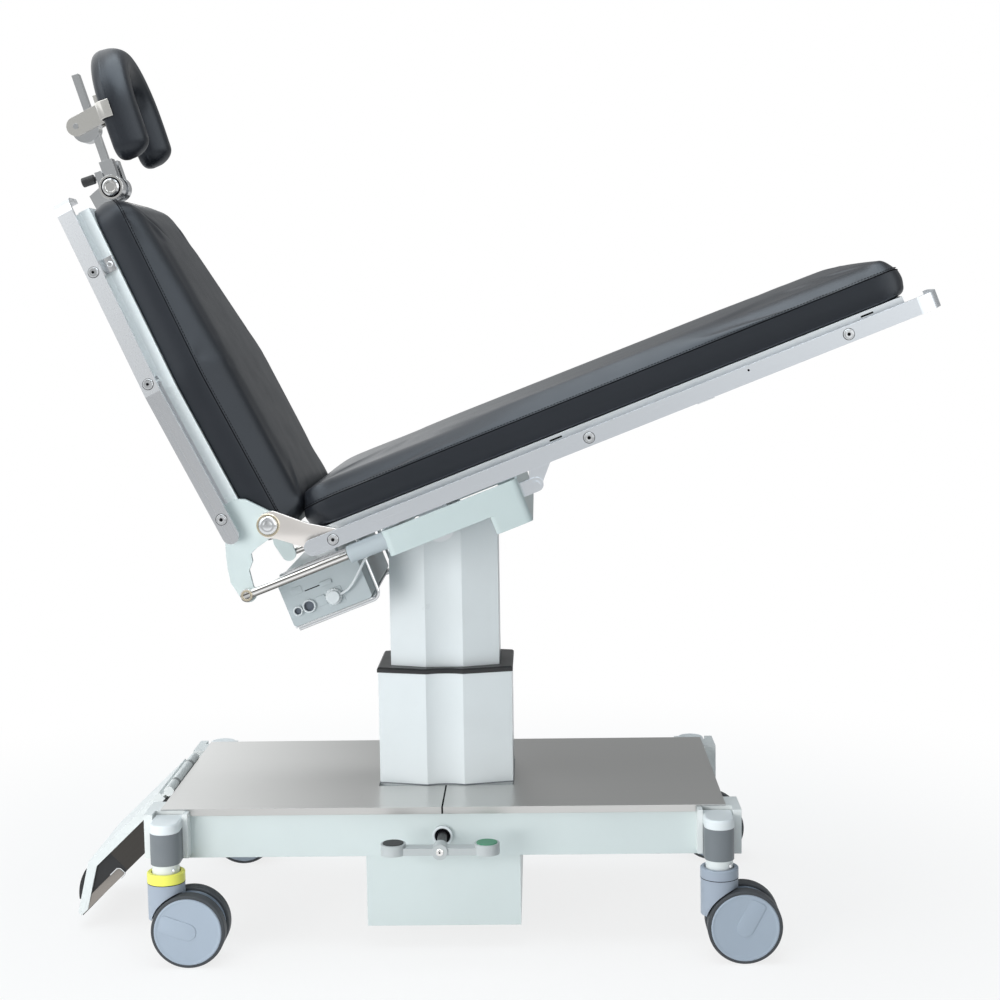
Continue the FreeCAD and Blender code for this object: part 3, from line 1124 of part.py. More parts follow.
# Headrest, drawn along its arm from the pivot rod: x runs back along the arm, z towards the head

def make_head_mount():
    """Bracket on the head end of the back with the cross rod that the headrest clamps."""
    low = BACK_PAN_TOP - BACK_PAN_DEPTH
    foot = box(-BACK_PAN_END - 2 * PAN_SHEET, -BACK_PAN_END, -HEAD_MOUNT_HALF_WIDTH, HEAD_MOUNT_HALF_WIDTH,
               low, BACK_PAN_TOP)
    ear_points = [(-BACK_PAN_END - 2 * PAN_SHEET, low), (-BACK_PAN_END - 2 * PAN_SHEET, BACK_PAN_TOP),
                  (HEAD_PIVOT_X + HEAD_CLAMP_RADIUS * 0.8, HEAD_PIVOT_Z), (HEAD_PIVOT_X, HEAD_PIVOT_Z + 8),
                  (HEAD_PIVOT_X - HEAD_CLAMP_RADIUS * 0.8, HEAD_PIVOT_Z), (HEAD_PIVOT_X - 8, low)]
    ear = slab_xz(ear_points, -HEAD_EAR_HALF_WIDTH, HEAD_EAR_HALF_WIDTH)
    cross = bar_y(HEAD_PIVOT_X, HEAD_PIVOT_Z, -HEAD_ROD_HALF_LENGTH, HEAD_ROD_HALF_LENGTH, HEAD_ROD_RADIUS)
    cross = round_edges(cross, 2, lambda edge: edge.Curve.TypeId == "Part::GeomCircle")
    save("head_mount", [on_back(join([foot, ear, cross]))])


def make_head_arm():
    """Forked split clamp on the cross rod and the flat bar that carries the slider."""
    inner = HEAD_EAR_HALF_WIDTH + SLIDE_GAP
    outer = HEAD_CLAMP_OUTER
    split = HEAD_CLAMP_SPLIT / 2
    slot_z = -HEAD_BAR_THICKNESS / 2
    pieces = []
    for side in (-1, 1):
        y0, y1 = sorted((side * inner, side * outer))
        ring = bar_y(0, 0, y0, y1, HEAD_CLAMP_RADIUS)
        neck = box(-HEAD_BAR_START - 2 * KNOB_RADIUS, 0, y0, y1, slot_z, HEAD_CLAMP_RADIUS * 0.8)
        jaw = box(-KNOB_ALONG - KNOB_RADIUS, 0, y0, y1, -HEAD_CLAMP_RADIUS * 0.9, slot_z)
        cheek = join([ring, neck, jaw])
        slot = box(-KNOB_ALONG - KNOB_RADIUS, 0, y0, y1, slot_z - split, slot_z + split)
        pieces.append(cheek.cut(slot))
    bridge = box(-HEAD_BAR_START - 2 * KNOB_RADIUS, -HEAD_BAR_START, -outer, outer,
                 -HEAD_BAR_THICKNESS / 2, HEAD_BAR_THICKNESS / 2)
    half = HEAD_BAR_WIDTH / 2
    bar = box(-HEAD_BAR_END, -HEAD_BAR_START, -half, half, -HEAD_BAR_THICKNESS / 2, HEAD_BAR_THICKNESS / 2)
    arm = join(pieces + [bridge, bar])
    arm = arm.cut(bar_y(0, 0, -outer, outer, HEAD_ROD_RADIUS + RUN_FIT))
    save("head_arm", [on_head(arm)])


def make_head_knob():
    """Black clamping knob on its stud, square to the arm on the near cheek."""
    y = -(HEAD_EAR_HALF_WIDTH + HEAD_CLAMP_OUTER) / 2
    top = -HEAD_CLAMP_RADIUS * 0.9 - SLIDE_GAP
    low = top - KNOB_LENGTH
    stud = bar_z(-KNOB_ALONG, y, top - KNOB_RADIUS, top, KNOB_STUD_RADIUS)
    grip = bar_z(-KNOB_ALONG, y, low, top - KNOB_RADIUS / 2, KNOB_RADIUS)
    grip = round_edges(grip, KNOB_RADIUS / 4, lambda edge: edge.Curve.TypeId == "Part::GeomCircle")
    save("head_knob", [on_head(join([stud, grip]))])


def make_head_slider():
    """Round-bellied slider on the bar, with the pivot pin of the pad's yoke."""
    half = SLIDER_HALF_WIDTH
    pivot = (-YOKE_ALONG, YOKE_DROP)
    belly = bar_y(-YOKE_ALONG + YOKE_RADIUS / 2, YOKE_DROP / 2, -half, half, SLIDER_ROUND)
    lug = strap_xz(pivot, (-YOKE_ALONG, 0), YOKE_RADIUS - 1, -half, half)
    body = join([belly, lug])
    slot_half = HEAD_BAR_WIDTH / 2 + SLIDE_GAP
    slot_thick = HEAD_BAR_THICKNESS / 2 + SLIDE_GAP
    body = body.cut(box(-HEAD_BAR_END, 0, -slot_half, slot_half, -slot_thick, slot_thick))
    pin_half = half + SLIDE_GAP + YOKE_CHEEK + 2
    pin = bar_y(pivot[0], pivot[1], -pin_half, pin_half, YOKE_PIN_RADIUS)
    save("head_slider", [on_head(join([body, pin]))])


def make_head_yoke():
    """Steel cheeks on the slider's pin, joined behind the pad by a web and a cross plate."""
    skew = math.radians(YOKE_SKEW)
    reach = PAD_BACK - PAD_PLATE - YOKE_DROP
    far = (-YOKE_ALONG - reach * math.tan(skew), YOKE_DROP + reach)
    pieces = []
    inner = SLIDER_HALF_WIDTH + SLIDE_GAP
    radius = YOKE_RADIUS
    for side in (-1, 1):
        y0, y1 = sorted((side * inner, side * (inner + YOKE_CHEEK)))
        outline = [(-YOKE_ALONG - radius, YOKE_DROP), (-YOKE_ALONG + radius, YOKE_DROP),
                   (far[0] + radius, far[1]), (far[0] - radius, far[1])]
        pieces += [slab_xz(outline, y0, y1), bar_y(-YOKE_ALONG, YOKE_DROP, y0, y1, radius)]
    span = PAD_LEG_Y
    pieces.append(box(far[0] - radius, far[0] + radius, -span, span, far[1], PAD_BACK))
    yoke = join(pieces)
    pin_half = inner + YOKE_CHEEK
    yoke = yoke.cut(bar_y(-YOKE_ALONG, YOKE_DROP, -pin_half, pin_half, YOKE_PIN_RADIUS + RUN_FIT))
    save("head_yoke", [on_head(yoke)])


def make_head_pad():
    """Horseshoe pad: round arch over two legs, with rounded edges."""
    outer = PAD_LEG_Y + PAD_LEG_HALF_WIDTH
    inner = PAD_LEG_Y - PAD_LEG_HALF_WIDTH
    arch_x = outer - PAD_TOP
    tip_x = -PAD_TIP - PAD_LEG_HALF_WIDTH
    z = PAD_BACK
    edges = [Part.makeLine(V(tip_x, outer, z), V(arch_x, outer, z)),
             Part.Arc(V(arch_x, outer, z), V(-PAD_TOP, 0, z), V(arch_x, -outer, z)).toShape(),
             Part.makeLine(V(arch_x, -outer, z), V(tip_x, -outer, z)),
             Part.Arc(V(tip_x, -outer, z), V(-PAD_TIP, -PAD_LEG_Y, z), V(tip_x, -inner, z)).toShape(),
             Part.makeLine(V(tip_x, -inner, z), V(arch_x, -inner, z)),
             Part.Arc(V(arch_x, -inner, z), V(arch_x - inner, 0, z), V(arch_x, inner, z)).toShape(),
             Part.makeLine(V(arch_x, inner, z), V(tip_x, inner, z)),
             Part.Arc(V(tip_x, inner, z), V(-PAD_TIP, PAD_LEG_Y, z), V(tip_x, outer, z)).toShape()]
    pad = Part.Face(Part.Wire(edges)).extrude(V(0, 0, PAD_THICKNESS))
    front = PAD_BACK + PAD_THICKNESS
    pad = round_edges(pad, PAD_ROUND, lambda edge: edge.BoundBox.ZMin > front - 1e-3)
    pad = round_edges(pad, PAD_ROUND / 2, lambda edge: edge.BoundBox.ZMax < PAD_BACK + 1e-3)
    save("head_pad", [on_head(pad)])


def main():
    """Make every node of the table."""
    os.makedirs(PARTS, exist_ok=True)
    make_base_covers()
    make_base_frame()
    make_power_box()
    make_corner_sockets()
    for name, (x, y) in caster_points().items():
        make_caster(name, x, y)
    make_brake()
    make_foot_control()
    make_column()
    make_seat_frame()
    make_seat_rails()
    make_hinge_plates()
    make_tilt_cover()
    make_actuators()
    make_clevises()
    make_control_box()
    make_cushions()
    make_back()
    make_head_mount()
    make_head_arm()
    make_head_knob()
    make_head_slider()
    make_head_yoke()
    make_head_pad()


main()
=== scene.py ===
"""Dress of a treatment and operating table: finishes, cushions, small fittings, studio and camera.

Every piece is in metres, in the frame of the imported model: X from the head end to the foot end, Y across
the table with the camera's side negative, Z up.
"""
import json
import logging
import math
from dataclasses import dataclass
from enum import Enum
from typing import Callable

import bmesh
import bpy
import numpy as np
from mathutils import Matrix


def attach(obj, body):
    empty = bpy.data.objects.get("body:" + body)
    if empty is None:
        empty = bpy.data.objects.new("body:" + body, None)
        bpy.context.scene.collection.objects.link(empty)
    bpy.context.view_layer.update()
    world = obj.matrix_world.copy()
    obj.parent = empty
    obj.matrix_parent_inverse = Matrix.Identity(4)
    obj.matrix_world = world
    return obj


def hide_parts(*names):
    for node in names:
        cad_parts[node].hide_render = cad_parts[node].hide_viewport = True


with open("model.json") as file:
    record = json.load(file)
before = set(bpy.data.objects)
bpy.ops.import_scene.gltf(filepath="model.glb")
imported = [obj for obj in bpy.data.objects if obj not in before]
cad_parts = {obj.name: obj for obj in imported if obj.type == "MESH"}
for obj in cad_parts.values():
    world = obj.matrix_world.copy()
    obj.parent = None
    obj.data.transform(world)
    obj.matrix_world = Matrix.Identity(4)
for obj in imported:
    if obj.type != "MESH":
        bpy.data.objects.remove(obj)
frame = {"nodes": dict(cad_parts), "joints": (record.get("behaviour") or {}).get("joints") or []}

LOG = logging.getLogger("operating_table")
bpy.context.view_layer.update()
MM = 0.001

SEAT_TILT = 21.0
BACK_RAISE = 63.0
HEAD_LEAN = 9.5
HEAD_PIVOT = (-647.0, 0.0, -1.0)
FOOT_CONTROL_TURN = 180.0 - 43.8
FOOT_STRIP_TURN = 33.0
FOOT_HINGE_DEPTH = 11.0
WHITE = (1.0, 1.0, 1.0)
SIDES = (-1, 1)
UP = (0.0, 0.0, 1.0)
ACROSS = (0.0, 1.0, 0.0)
TO_CAMERA = (0.0, -1.0, 0.0)
OBLIQUE = (0.31, 0.52, 0.79)
SHARP_DEG = 35.0
PLATE_SHARP_DEG = 30.0
ROUND_SHARP_DEG = 60.0
THREAD_SHARP_DEG = 80.0
Array = np.ndarray
Pair = tuple[float, float]
Triple = tuple[float, float, float]
Profile = list[Pair]
Tree = bpy.types.NodeTree
Piece = bpy.types.Object
Socket = bpy.types.NodeSocket
Value = Socket | float
Vector = Socket | Triple


# Frames and points

def joint_place(name: str) -> Array:
    """Place of a joint in millimetres.

    Args:
        name: The joint's name in the record.

    Returns:
        Its point as three numbers.
    """
    found = next(joint for joint in frame["joints"] if joint["name"] == name)
    return np.array(found["pos_m"], float) / MM


@dataclass(frozen=True)
class LocalFrame:
    """A frame turned about Y by turn_deg and set at a point, in millimetres."""

    origin: Triple
    turn_deg: float
    lowered: float = 0.0

    def world(self, points: Array) -> Array:
        """Points of this frame in the table's frame: turned about Y, then shifted.

        Args:
            points: Array whose last axis holds x, y and z in millimetres.

        Returns:
            The same points in the table's frame, in millimetres.
        """
        local = np.asarray(points, float)
        turn = math.radians(self.turn_deg)
        x, y, z = local[..., 0], local[..., 1], local[..., 2] - self.lowered
        turned = np.stack([x * math.cos(turn) + z * math.sin(turn), y,
                           z * math.cos(turn) - x * math.sin(turn)], axis=-1)
        return turned + np.array(self.origin)


BACK_HINGE = tuple(joint_place("back_hinge"))
TABLE = LocalFrame((0.0, 0.0, 0.0), 0.0)
SEAT = LocalFrame(BACK_HINGE, -SEAT_TILT)
BACK = LocalFrame(BACK_HINGE, BACK_RAISE)
HEAD = LocalFrame(tuple(BACK.world(HEAD_PIVOT)), BACK_RAISE + HEAD_LEAN)
FOOT_CONTROL = LocalFrame(tuple(joint_place("foot_control_swing")), FOOT_CONTROL_TURN,
                          FOOT_HINGE_DEPTH)


# Meshes from arrays

def unit(vectors: Array) -> Array:
    """Vectors divided by their lengths."""
    return vectors / np.linalg.norm(vectors, axis=-1, keepdims=True)


def chords(ring: Array) -> Array:
    """Chord between the neighbours of each point of a closed ring."""
    return np.roll(ring, -1, axis=0) - np.roll(ring, 1, axis=0)


def quads(rows: int, cols: int, wrap_u: bool = False, wrap_v: bool = False) -> Array:
    """Corner numbers of the faces between neighbours of a grid, joined round its rows or columns."""
    a, b = np.meshgrid(np.arange(rows if wrap_u else rows - 1), np.arange(cols if wrap_v else cols - 1),
                       indexing="ij")
    a2, b2 = (a + 1) % rows, (b + 1) % cols
    return np.stack([a * cols + b, a * cols + b2, a2 * cols + b2, a2 * cols + b], axis=-1).reshape(-1, 4)


class Surface:
    """Collects grids and caps and puts them into one mesh object at the origin."""

    def __init__(self, name: str, local: LocalFrame = TABLE) -> None:
        """Start an empty piece.

        Args:
            name: Name of the finished object.
            local: Frame that the points are given in.
        """
        self.name = name
        self.local = local
        self.points: list[Array] = []
        self.faces: list[list[int]] = []
        self.count = 0

    def add(self, points: Array) -> int:
        """Append points and return the number of the first one."""
        start = self.count
        flat = self.local.world(np.asarray(points, float).reshape(-1, 3))
        self.points.append(flat)
        self.count += len(flat)
        return start

    def grid(self, points: Array, wrap_u: bool = False, wrap_v: bool = False) -> int:
        """Quads between neighbours of a grid of points.

        Args:
            points: Array of rows by columns by 3, in millimetres.
            wrap_u: Join the last row to the first.
            wrap_v: Join the last column to the first.

        Returns:
            The number of the grid's first point.
        """
        start = self.add(points)
        self.faces += (quads(*points.shape[:2], wrap_u, wrap_v) + start).tolist()
        return start

    def copies(self, points: Array, faces: Array) -> None:
        """Many copies of one small shape.

        Args:
            points: Array of copies by points by 3.
            faces: Array of faces by corners, numbered within one copy.
        """
        start = self.add(points)
        many, per = points.shape[:2]
        shifted = faces[None] + (np.arange(many) * per)[:, None, None] + start
        self.faces += shifted.reshape(-1, faces.shape[1]).tolist()

    def cap(self, first: int, count: int) -> None:
        """Close a ring of points with one flat face."""
        self.faces.append(list(range(first, first + count)))

    def lathe(self, profile: Profile, centre: tuple, axis: tuple, steps: int = 36) -> "Surface":
        """Turned surface: each profile point circles the axis at its radius and distance along it.

        Args:
            profile: Radius and distance along the axis of each point, from pole to pole or round a ring.
            centre: Where the axis starts.
            axis: Direction of the axis.
            steps: Number of sides.

        Returns:
            This surface.
        """
        along = unit(np.array(axis, float))
        first = unit(np.cross(along, OBLIQUE))
        second = np.cross(along, first)
        angle = np.linspace(0, 2 * math.pi, steps, endpoint=False)[:, None]
        around = first * np.cos(angle) + second * np.sin(angle)
        radius, rise = np.array(profile, float).T[:, :, None, None]
        self.grid(np.array(centre, float) + rise * along + radius * around, wrap_v=True)
        return self

    def ring(self, inner: float, outer: float, height: float, centre: tuple, axis: tuple) -> "Surface":
        """Flat turned ring with a softened outer rim, standing on the plane at its centre."""
        soft = min(height, outer - inner) / 3
        return self.lathe([(inner, 0.0), (outer, 0.0), (outer, height - soft), (outer - soft, height),
                           (inner + soft, height), (inner, height - soft), (inner, 0.0)], centre, axis)

    def disc(self, profile: Profile, centre: tuple, axis: tuple, steps: int = 36) -> "Surface":
        """Turned boss: a profile from its foot to its top, closed at both poles."""
        return self.lathe([(0.0, profile[0][1]), *profile, (0.0, profile[-1][1])], centre, axis, steps)

    def pair(self, draw: Callable, sizes: tuple, centre: Triple, *steps: int) -> "Surface":
        """Draw a ring or disc at a place and at its mirror image across the table, facing outwards."""
        x, y, z = centre
        for side in SIDES:
            draw(self, *sizes, (x, side * y, z), (0.0, side, 0.0), *steps)
        return self

    def sweep(self, section: Array, path: Array, across: tuple, closed: bool = False) -> "Surface":
        """Profile carried along a path.

        At each point the profile's first axis is the tangent crossed with a fixed direction, and its second
        axis is square to both.

        Args:
            section: Profile points by 2.
            path: Path points by 3.
            across: Fixed direction, never along the path.
            closed: Join the path's end to its start.

        Returns:
            This surface.
        """
        tangent = unit(chords(path) if closed else np.gradient(path, axis=0))
        first = unit(np.cross(tangent, np.array(across, float)))
        second = np.cross(first, tangent)
        points = path[:, None] + section[None, :, :1] * first[:, None]
        points = points + section[None, :, 1:] * second[:, None]
        start = self.grid(points, wrap_u=closed, wrap_v=True)
        if not closed:
            self.cap(start, len(section))
            self.cap(start + (len(path) - 1) * len(section), len(section))
        return self

    def plate(self, outline: Array, low: float, high: float, soft: float,
              square_to: str = "y") -> "Surface":
        """Plate with round rims: the outline at rising levels, set in by a quarter circle at both faces.

        Args:
            outline: Points of the plate's outline by 2.
            low: Level of its first face.
            high: Level of its second face.
            soft: Radius of its rims.
            square_to: Axis that the levels run along.

        Returns:
            This surface.
        """
        angle = np.linspace(0, math.pi / 2, 4)
        inset = soft * np.concatenate([1 - np.sin(angle), 1 - np.sin(angle[::-1])])
        rise = soft * (1 - np.cos(angle))
        level = np.concatenate([low + rise, high - rise[::-1]])
        rings = outline[None] + inward(outline)[None] * inset[:, None, None]
        heights = np.broadcast_to(level[:, None], rings.shape[:2])
        order = [rings[..., 0], heights, rings[..., 1]]
        if square_to == "z":
            order = [rings[..., 0], rings[..., 1], heights]
        start = self.grid(np.stack(order, axis=-1), wrap_v=True)
        self.cap(start, len(outline))
        self.cap(start + (len(level) - 1) * len(outline), len(outline))
        return self

    def side_plates(self, outline: Array, inner: float, outer: float, soft: float) -> "Surface":
        """The same plate on both sides of the table, between two distances from its middle."""
        for side in SIDES:
            self.plate(outline, *sorted((side * inner, side * outer)), soft)
        return self

    def build(self, sharp_deg: float = SHARP_DEG, held: Array | None = None) -> Piece:
        """Make the mesh: doubles merged, faces turned outwards, smooth up to an angle.

        Args:
            sharp_deg: Edges that turn by more than this stay sharp.
            held: One for each point that a simulation keeps in place, else zero.

        Returns:
            The new object.
        """
        mesh = bpy.data.meshes.new(self.name)
        mesh.from_pydata(np.concatenate(self.points) * MM, [], self.faces)
        if held is not None:
            mesh.attributes.new("held", "FLOAT", "POINT").data.foreach_set("value", held)
        tidy_mesh(mesh)
        mesh.shade_smooth()
        mesh.set_sharp_from_angle(angle=math.radians(sharp_deg))
        return stand(self.name, mesh)


def stand(name: str, data: bpy.types.ID, *axes: Array) -> Piece:
    """Put an object into the scene.

    Args:
        name: Its name.
        data: Its mesh, curve, lamp or camera.
        axes: Its three axes and its place in metres; at the origin without them.

    Returns:
        The new object.
    """
    made = bpy.data.objects.new(name, data)
    if axes:
        pose = np.eye(4)
        pose[:3] = np.column_stack(axes)
        made.matrix_world = Matrix(pose.tolist())
    bpy.context.scene.collection.objects.link(made)
    return made


def tidy_mesh(mesh: bpy.types.Mesh) -> None:
    """Merge doubled points and turn the faces outwards."""
    work = bmesh.new()
    work.from_mesh(mesh)
    bmesh.ops.remove_doubles(work, verts=work.verts, dist=1e-6)
    bmesh.ops.dissolve_degenerate(work, edges=work.edges, dist=1e-7)
    bmesh.ops.recalc_face_normals(work, faces=work.faces)
    work.to_mesh(mesh)
    work.free()


def arc(centre: Pair, radius: float, start_deg: float, end_deg: float,
        steps: int) -> Array:
    """Points on a circular arc: the centre plus radius times cosine and sine of evenly spaced angles."""
    angle = np.radians(np.linspace(start_deg, end_deg, steps + 1))
    return np.stack([centre[0] + radius * np.cos(angle), centre[1] + radius * np.sin(angle)], axis=-1)


def rounded_outline(corners: list[Triple], steps: int = 8) -> Array:
    """Closed outline whose corners are replaced by tangent arcs.

    Each corner's arc touches both sides at the distance radius divided by the tangent of half the corner's
    angle, and its points turn evenly about the centre on the corner's bisector.

    Args:
        corners: x, y and radius of each corner in order.
        steps: Number of pieces in each arc.

    Returns:
        Array of points by 2.
    """
    places = np.array([corner[:2] for corner in corners], float)
    rings = []
    for index, (_, _, radius) in enumerate(corners):
        here = places[index]
        if radius <= 0:
            rings.append(here[None])
            continue
        back = places[index - 1] - here
        ahead = places[(index + 1) % len(corners)] - here
        back, ahead = back / np.linalg.norm(back), ahead / np.linalg.norm(ahead)
        half = math.acos(np.clip(back @ ahead, -1, 1)) / 2
        bisector = (back + ahead) / np.linalg.norm(back + ahead)
        centre = here + bisector * radius / math.sin(half)
        first = here + back * radius / math.tan(half) - centre
        last = here + ahead * radius / math.tan(half) - centre
        a0, a1 = math.atan2(first[1], first[0]), math.atan2(last[1], last[0])
        sweep = (a1 - a0 + math.pi) % (2 * math.pi) - math.pi
        angle = a0 + sweep * np.linspace(0, 1, steps + 1)
        rings.append(centre + radius * np.stack([np.cos(angle), np.sin(angle)], axis=-1))
    return np.concatenate(rings)


def circle(radius: float, steps: int = 10) -> Array:
    """Closed round profile about the origin."""
    return arc((0.0, 0.0), radius, 0, 360, steps)[:-1]


def block(low: Pair, high: Pair, corner: float) -> Array:
    """Rectangle between two corners with round corners."""
    (x0, y0), (x1, y1) = low, high
    return rounded_outline([(x0, y0, corner), (x1, y0, corner), (x1, y1, corner), (x0, y1, corner)], 4)


def at_side(flat: Array, y: float) -> Array:
    """Path in an upright plane, set at a distance across the table."""
    return np.column_stack([flat[:, 0], np.full(len(flat), y), flat[:, 1]])


def resample(outline: Array, count: int) -> Array:
    """Closed outline at evenly spaced lengths round it."""
    ring = np.concatenate([outline, outline[:1]])
    length = np.concatenate([[0.0], np.cumsum(np.linalg.norm(np.diff(ring, axis=0), axis=1))])
    at = np.linspace(0, length[-1], count, endpoint=False)
    return np.stack([np.interp(at, length, ring[:, axis]) for axis in range(ring.shape[1])], axis=-1)


def inward(outline: Array) -> Array:
    """Unit normals into a closed outline: the turned chord between each point's neighbours."""
    chord = unit(chords(outline))
    x, y = outline[:, 0], outline[:, 1]
    area = np.sum(x * np.roll(y, -1) - np.roll(x, -1) * y)
    turn = np.stack([-chord[:, 1], chord[:, 0]], axis=-1)
    return turn if area > 0 else -turn


# Finishes

class Kind(Enum):
    """Ways a surface is finished."""

    PAINT = "paint"
    BRUSHED = "brushed"
    POLISHED = "polished"
    PLASTIC = "plastic"
    RUBBER = "rubber"
    VINYL = "vinyl"


@dataclass(frozen=True)
class Finish:
    """One finish: its kind, colours and the size and strength of its texture."""

    name: str
    kind: Kind
    colour: Triple
    tone: Triple
    roughness: float
    grain: float = 300.0
    bump: float = 0.05
    turn_deg: float = 0.0
    edge: float = 0.6
    wear: float = 0.25
    specular: float = 0.5
    slot: str = ""
    # Middle height and radius of a rod whose colour gets painted reflection bands.
    streaks: Pair | None = None


WHITE_PAINT = Finish("white_paint", Kind.PAINT, (0.81, 0.83, 0.82), (0.76, 0.78, 0.77), 0.34)
COLUMN_PAINT = Finish("column_paint", Kind.PAINT, (0.765, 0.80, 0.81), (0.72, 0.755, 0.765), 0.30)
SAGE_PAINT = Finish("sage_paint", Kind.PAINT, (0.67, 0.725, 0.715), (0.62, 0.675, 0.665), 0.38)
PALE_PAINT = Finish("pale_paint", Kind.PAINT, (0.85, 0.885, 0.885), (0.82, 0.855, 0.855), 0.28, wear=0.1)
CRANK_PAINT = Finish("crank_paint", Kind.PAINT, (0.62, 0.69, 0.685), (0.58, 0.65, 0.645), 0.36)
# Painted shade: a darker copy of the pale green-grey paint, for the tilt cover in the seat's shadow.
TILT_SHADED_PAINT = Finish("tilt_shaded_paint", Kind.PAINT, (0.545, 0.615, 0.61), (0.505, 0.575, 0.57), 0.36)
PAN_STEEL = Finish("pan_steel", Kind.BRUSHED, (0.85, 0.88, 0.90), (0.80, 0.83, 0.85), 0.34,
                   turn_deg=-SEAT_TILT)
COVER_STEEL = Finish("cover_steel", Kind.BRUSHED, (0.65, 0.645, 0.63), (0.60, 0.595, 0.58), 0.30)
SEAT_STEEL = Finish("seat_steel", Kind.BRUSHED, (0.84, 0.875, 0.91), (0.79, 0.82, 0.86), 0.26,
                    turn_deg=-SEAT_TILT, slot="rail_steel")
HINGE_STEEL = Finish("hinge_steel", Kind.BRUSHED, (0.95, 0.905, 0.865), (0.90, 0.85, 0.805), 0.30,
                     turn_deg=-SEAT_TILT, slot="rail_steel")
BACK_STEEL = Finish("back_steel", Kind.BRUSHED, (0.74, 0.755, 0.775), (0.69, 0.70, 0.72), 0.28,
                    turn_deg=BACK_RAISE, slot="rail_steel")
# Painted reflection: the foot control box's bright steel made nearly black, for the dark floor it mirrors.
FOOT_DARK_REFLECTION_STEEL = Finish("foot_dark_reflection_steel", Kind.BRUSHED, (0.085, 0.08, 0.074), (0.06, 0.056, 0.052), 0.30,
                    turn_deg=FOOT_CONTROL_TURN, slot="bright_steel")
# Painted reflection: the polished strip made dark brown-grey, for the dark floor it mirrors.
STRIP_DARK_REFLECTION_STEEL = Finish("strip_dark_reflection_steel", Kind.BRUSHED, (0.36, 0.33, 0.30), (0.26, 0.24, 0.22), 0.26,
                     turn_deg=FOOT_CONTROL_TURN + FOOT_STRIP_TURN, slot="bright_steel")
BRIGHT_STEEL = Finish("bright_steel", Kind.POLISHED, (0.78, 0.79, 0.80), (0.68, 0.69, 0.70), 0.16,
                      slot="bright_steel")
# Painted reflection: the rod's colour is darkened in bands by height.
ROD_CHROME = Finish("rod_chrome", Kind.POLISHED, (0.90, 0.89, 0.87), (0.86, 0.85, 0.83), 0.12, bump=0.0,
                    turn_deg=-SEAT_TILT, slot="bright_steel", streaks=(695.6, 8.0))
CHROME = Finish("chrome", Kind.POLISHED, (0.84, 0.83, 0.81), (0.80, 0.79, 0.77), 0.13, bump=0.0,
                slot="bright_steel")
YOKE_STEEL = Finish("yoke_steel", Kind.BRUSHED, (0.82, 0.80, 0.76), (0.74, 0.72, 0.68), 0.24,
                    turn_deg=BACK_RAISE + HEAD_LEAN, slot="bright_steel")
BRASS_RING = Finish("brass_ring", Kind.POLISHED, (0.80, 0.73, 0.58), (0.66, 0.58, 0.44), 0.22,
                    slot="bright_steel")
BRACKET_GREY = Finish("bracket_grey", Kind.PAINT, (0.34, 0.35, 0.35), (0.28, 0.29, 0.29), 0.42)
LEVER_GREY = Finish("lever_grey", Kind.PAINT, (0.50, 0.52, 0.52), (0.45, 0.47, 0.47), 0.40,
                    slot="bracket_grey")
SLEEVE_GREY = Finish("sleeve_grey", Kind.PLASTIC, (0.185, 0.20, 0.215), (0.155, 0.17, 0.182), 0.46,
                     slot="sleeve_grey")
ACTUATOR_GREY = Finish("actuator_grey", Kind.PLASTIC, (0.455, 0.50, 0.525), (0.41, 0.45, 0.475), 0.40)
CASTER_GREY = Finish("caster_grey", Kind.PLASTIC, (0.36, 0.405, 0.475), (0.32, 0.36, 0.425), 0.42,
                     slot="caster_grey")
WHEEL_GREY = Finish("wheel_grey", Kind.PLASTIC, (0.385, 0.44, 0.515), (0.34, 0.395, 0.465), 0.38,
                    slot="wheel_grey")
TREAD_GREY = Finish("tread_grey", Kind.RUBBER, (0.055, 0.06, 0.066), (0.04, 0.043, 0.048), 0.62)
RING_YELLOW = Finish("ring_yellow", Kind.PLASTIC, (0.90, 0.875, 0.14), (0.85, 0.81, 0.11), 0.36)
CAP_WHITE = Finish("cap_white", Kind.PLASTIC, (0.80, 0.83, 0.84), (0.75, 0.78, 0.79), 0.30)
BLACK_PLASTIC = Finish("black_plastic", Kind.PLASTIC, (0.014, 0.014, 0.015), (0.02, 0.02, 0.021), 0.40,
                       slot="black_plastic")
BRAKE_GREEN = Finish("brake_green", Kind.PLASTIC, (0.06, 0.27, 0.15), (0.05, 0.23, 0.125), 0.44)
BLACK_RUBBER = Finish("black_rubber", Kind.RUBBER, (0.018, 0.018, 0.019), (0.026, 0.026, 0.027), 0.58,
                      slot="black_rubber")
BOX_GREY = Finish("box_grey", Kind.PLASTIC, (0.47, 0.515, 0.53), (0.42, 0.46, 0.475), 0.36, slot="box_grey")
SOCKET_BLUE = Finish("socket_blue", Kind.PLASTIC, (0.12, 0.14, 0.17), (0.09, 0.105, 0.13), 0.40)
LEAD_WHITE = Finish("lead_white", Kind.PLASTIC, (0.66, 0.69, 0.70), (0.60, 0.63, 0.64), 0.34,
                    slot="lead_white")
BLACK_VINYL = Finish("black_vinyl", Kind.VINYL, (0.008, 0.009, 0.012), (0.013, 0.014, 0.018), 0.36,
                     grain=700.0, bump=0.1, slot="black_vinyl")
# Black of seams, stitches and joint lines, also used as painted shade in holes, slots and gaps.
SEAM_AND_SHADE_BLACK = Finish("seam_and_shade_black", Kind.RUBBER, (0.003, 0.003, 0.004), (0.005, 0.005, 0.006), 0.7,
                    grain=2500.0, specular=0.06, slot="black_plastic")


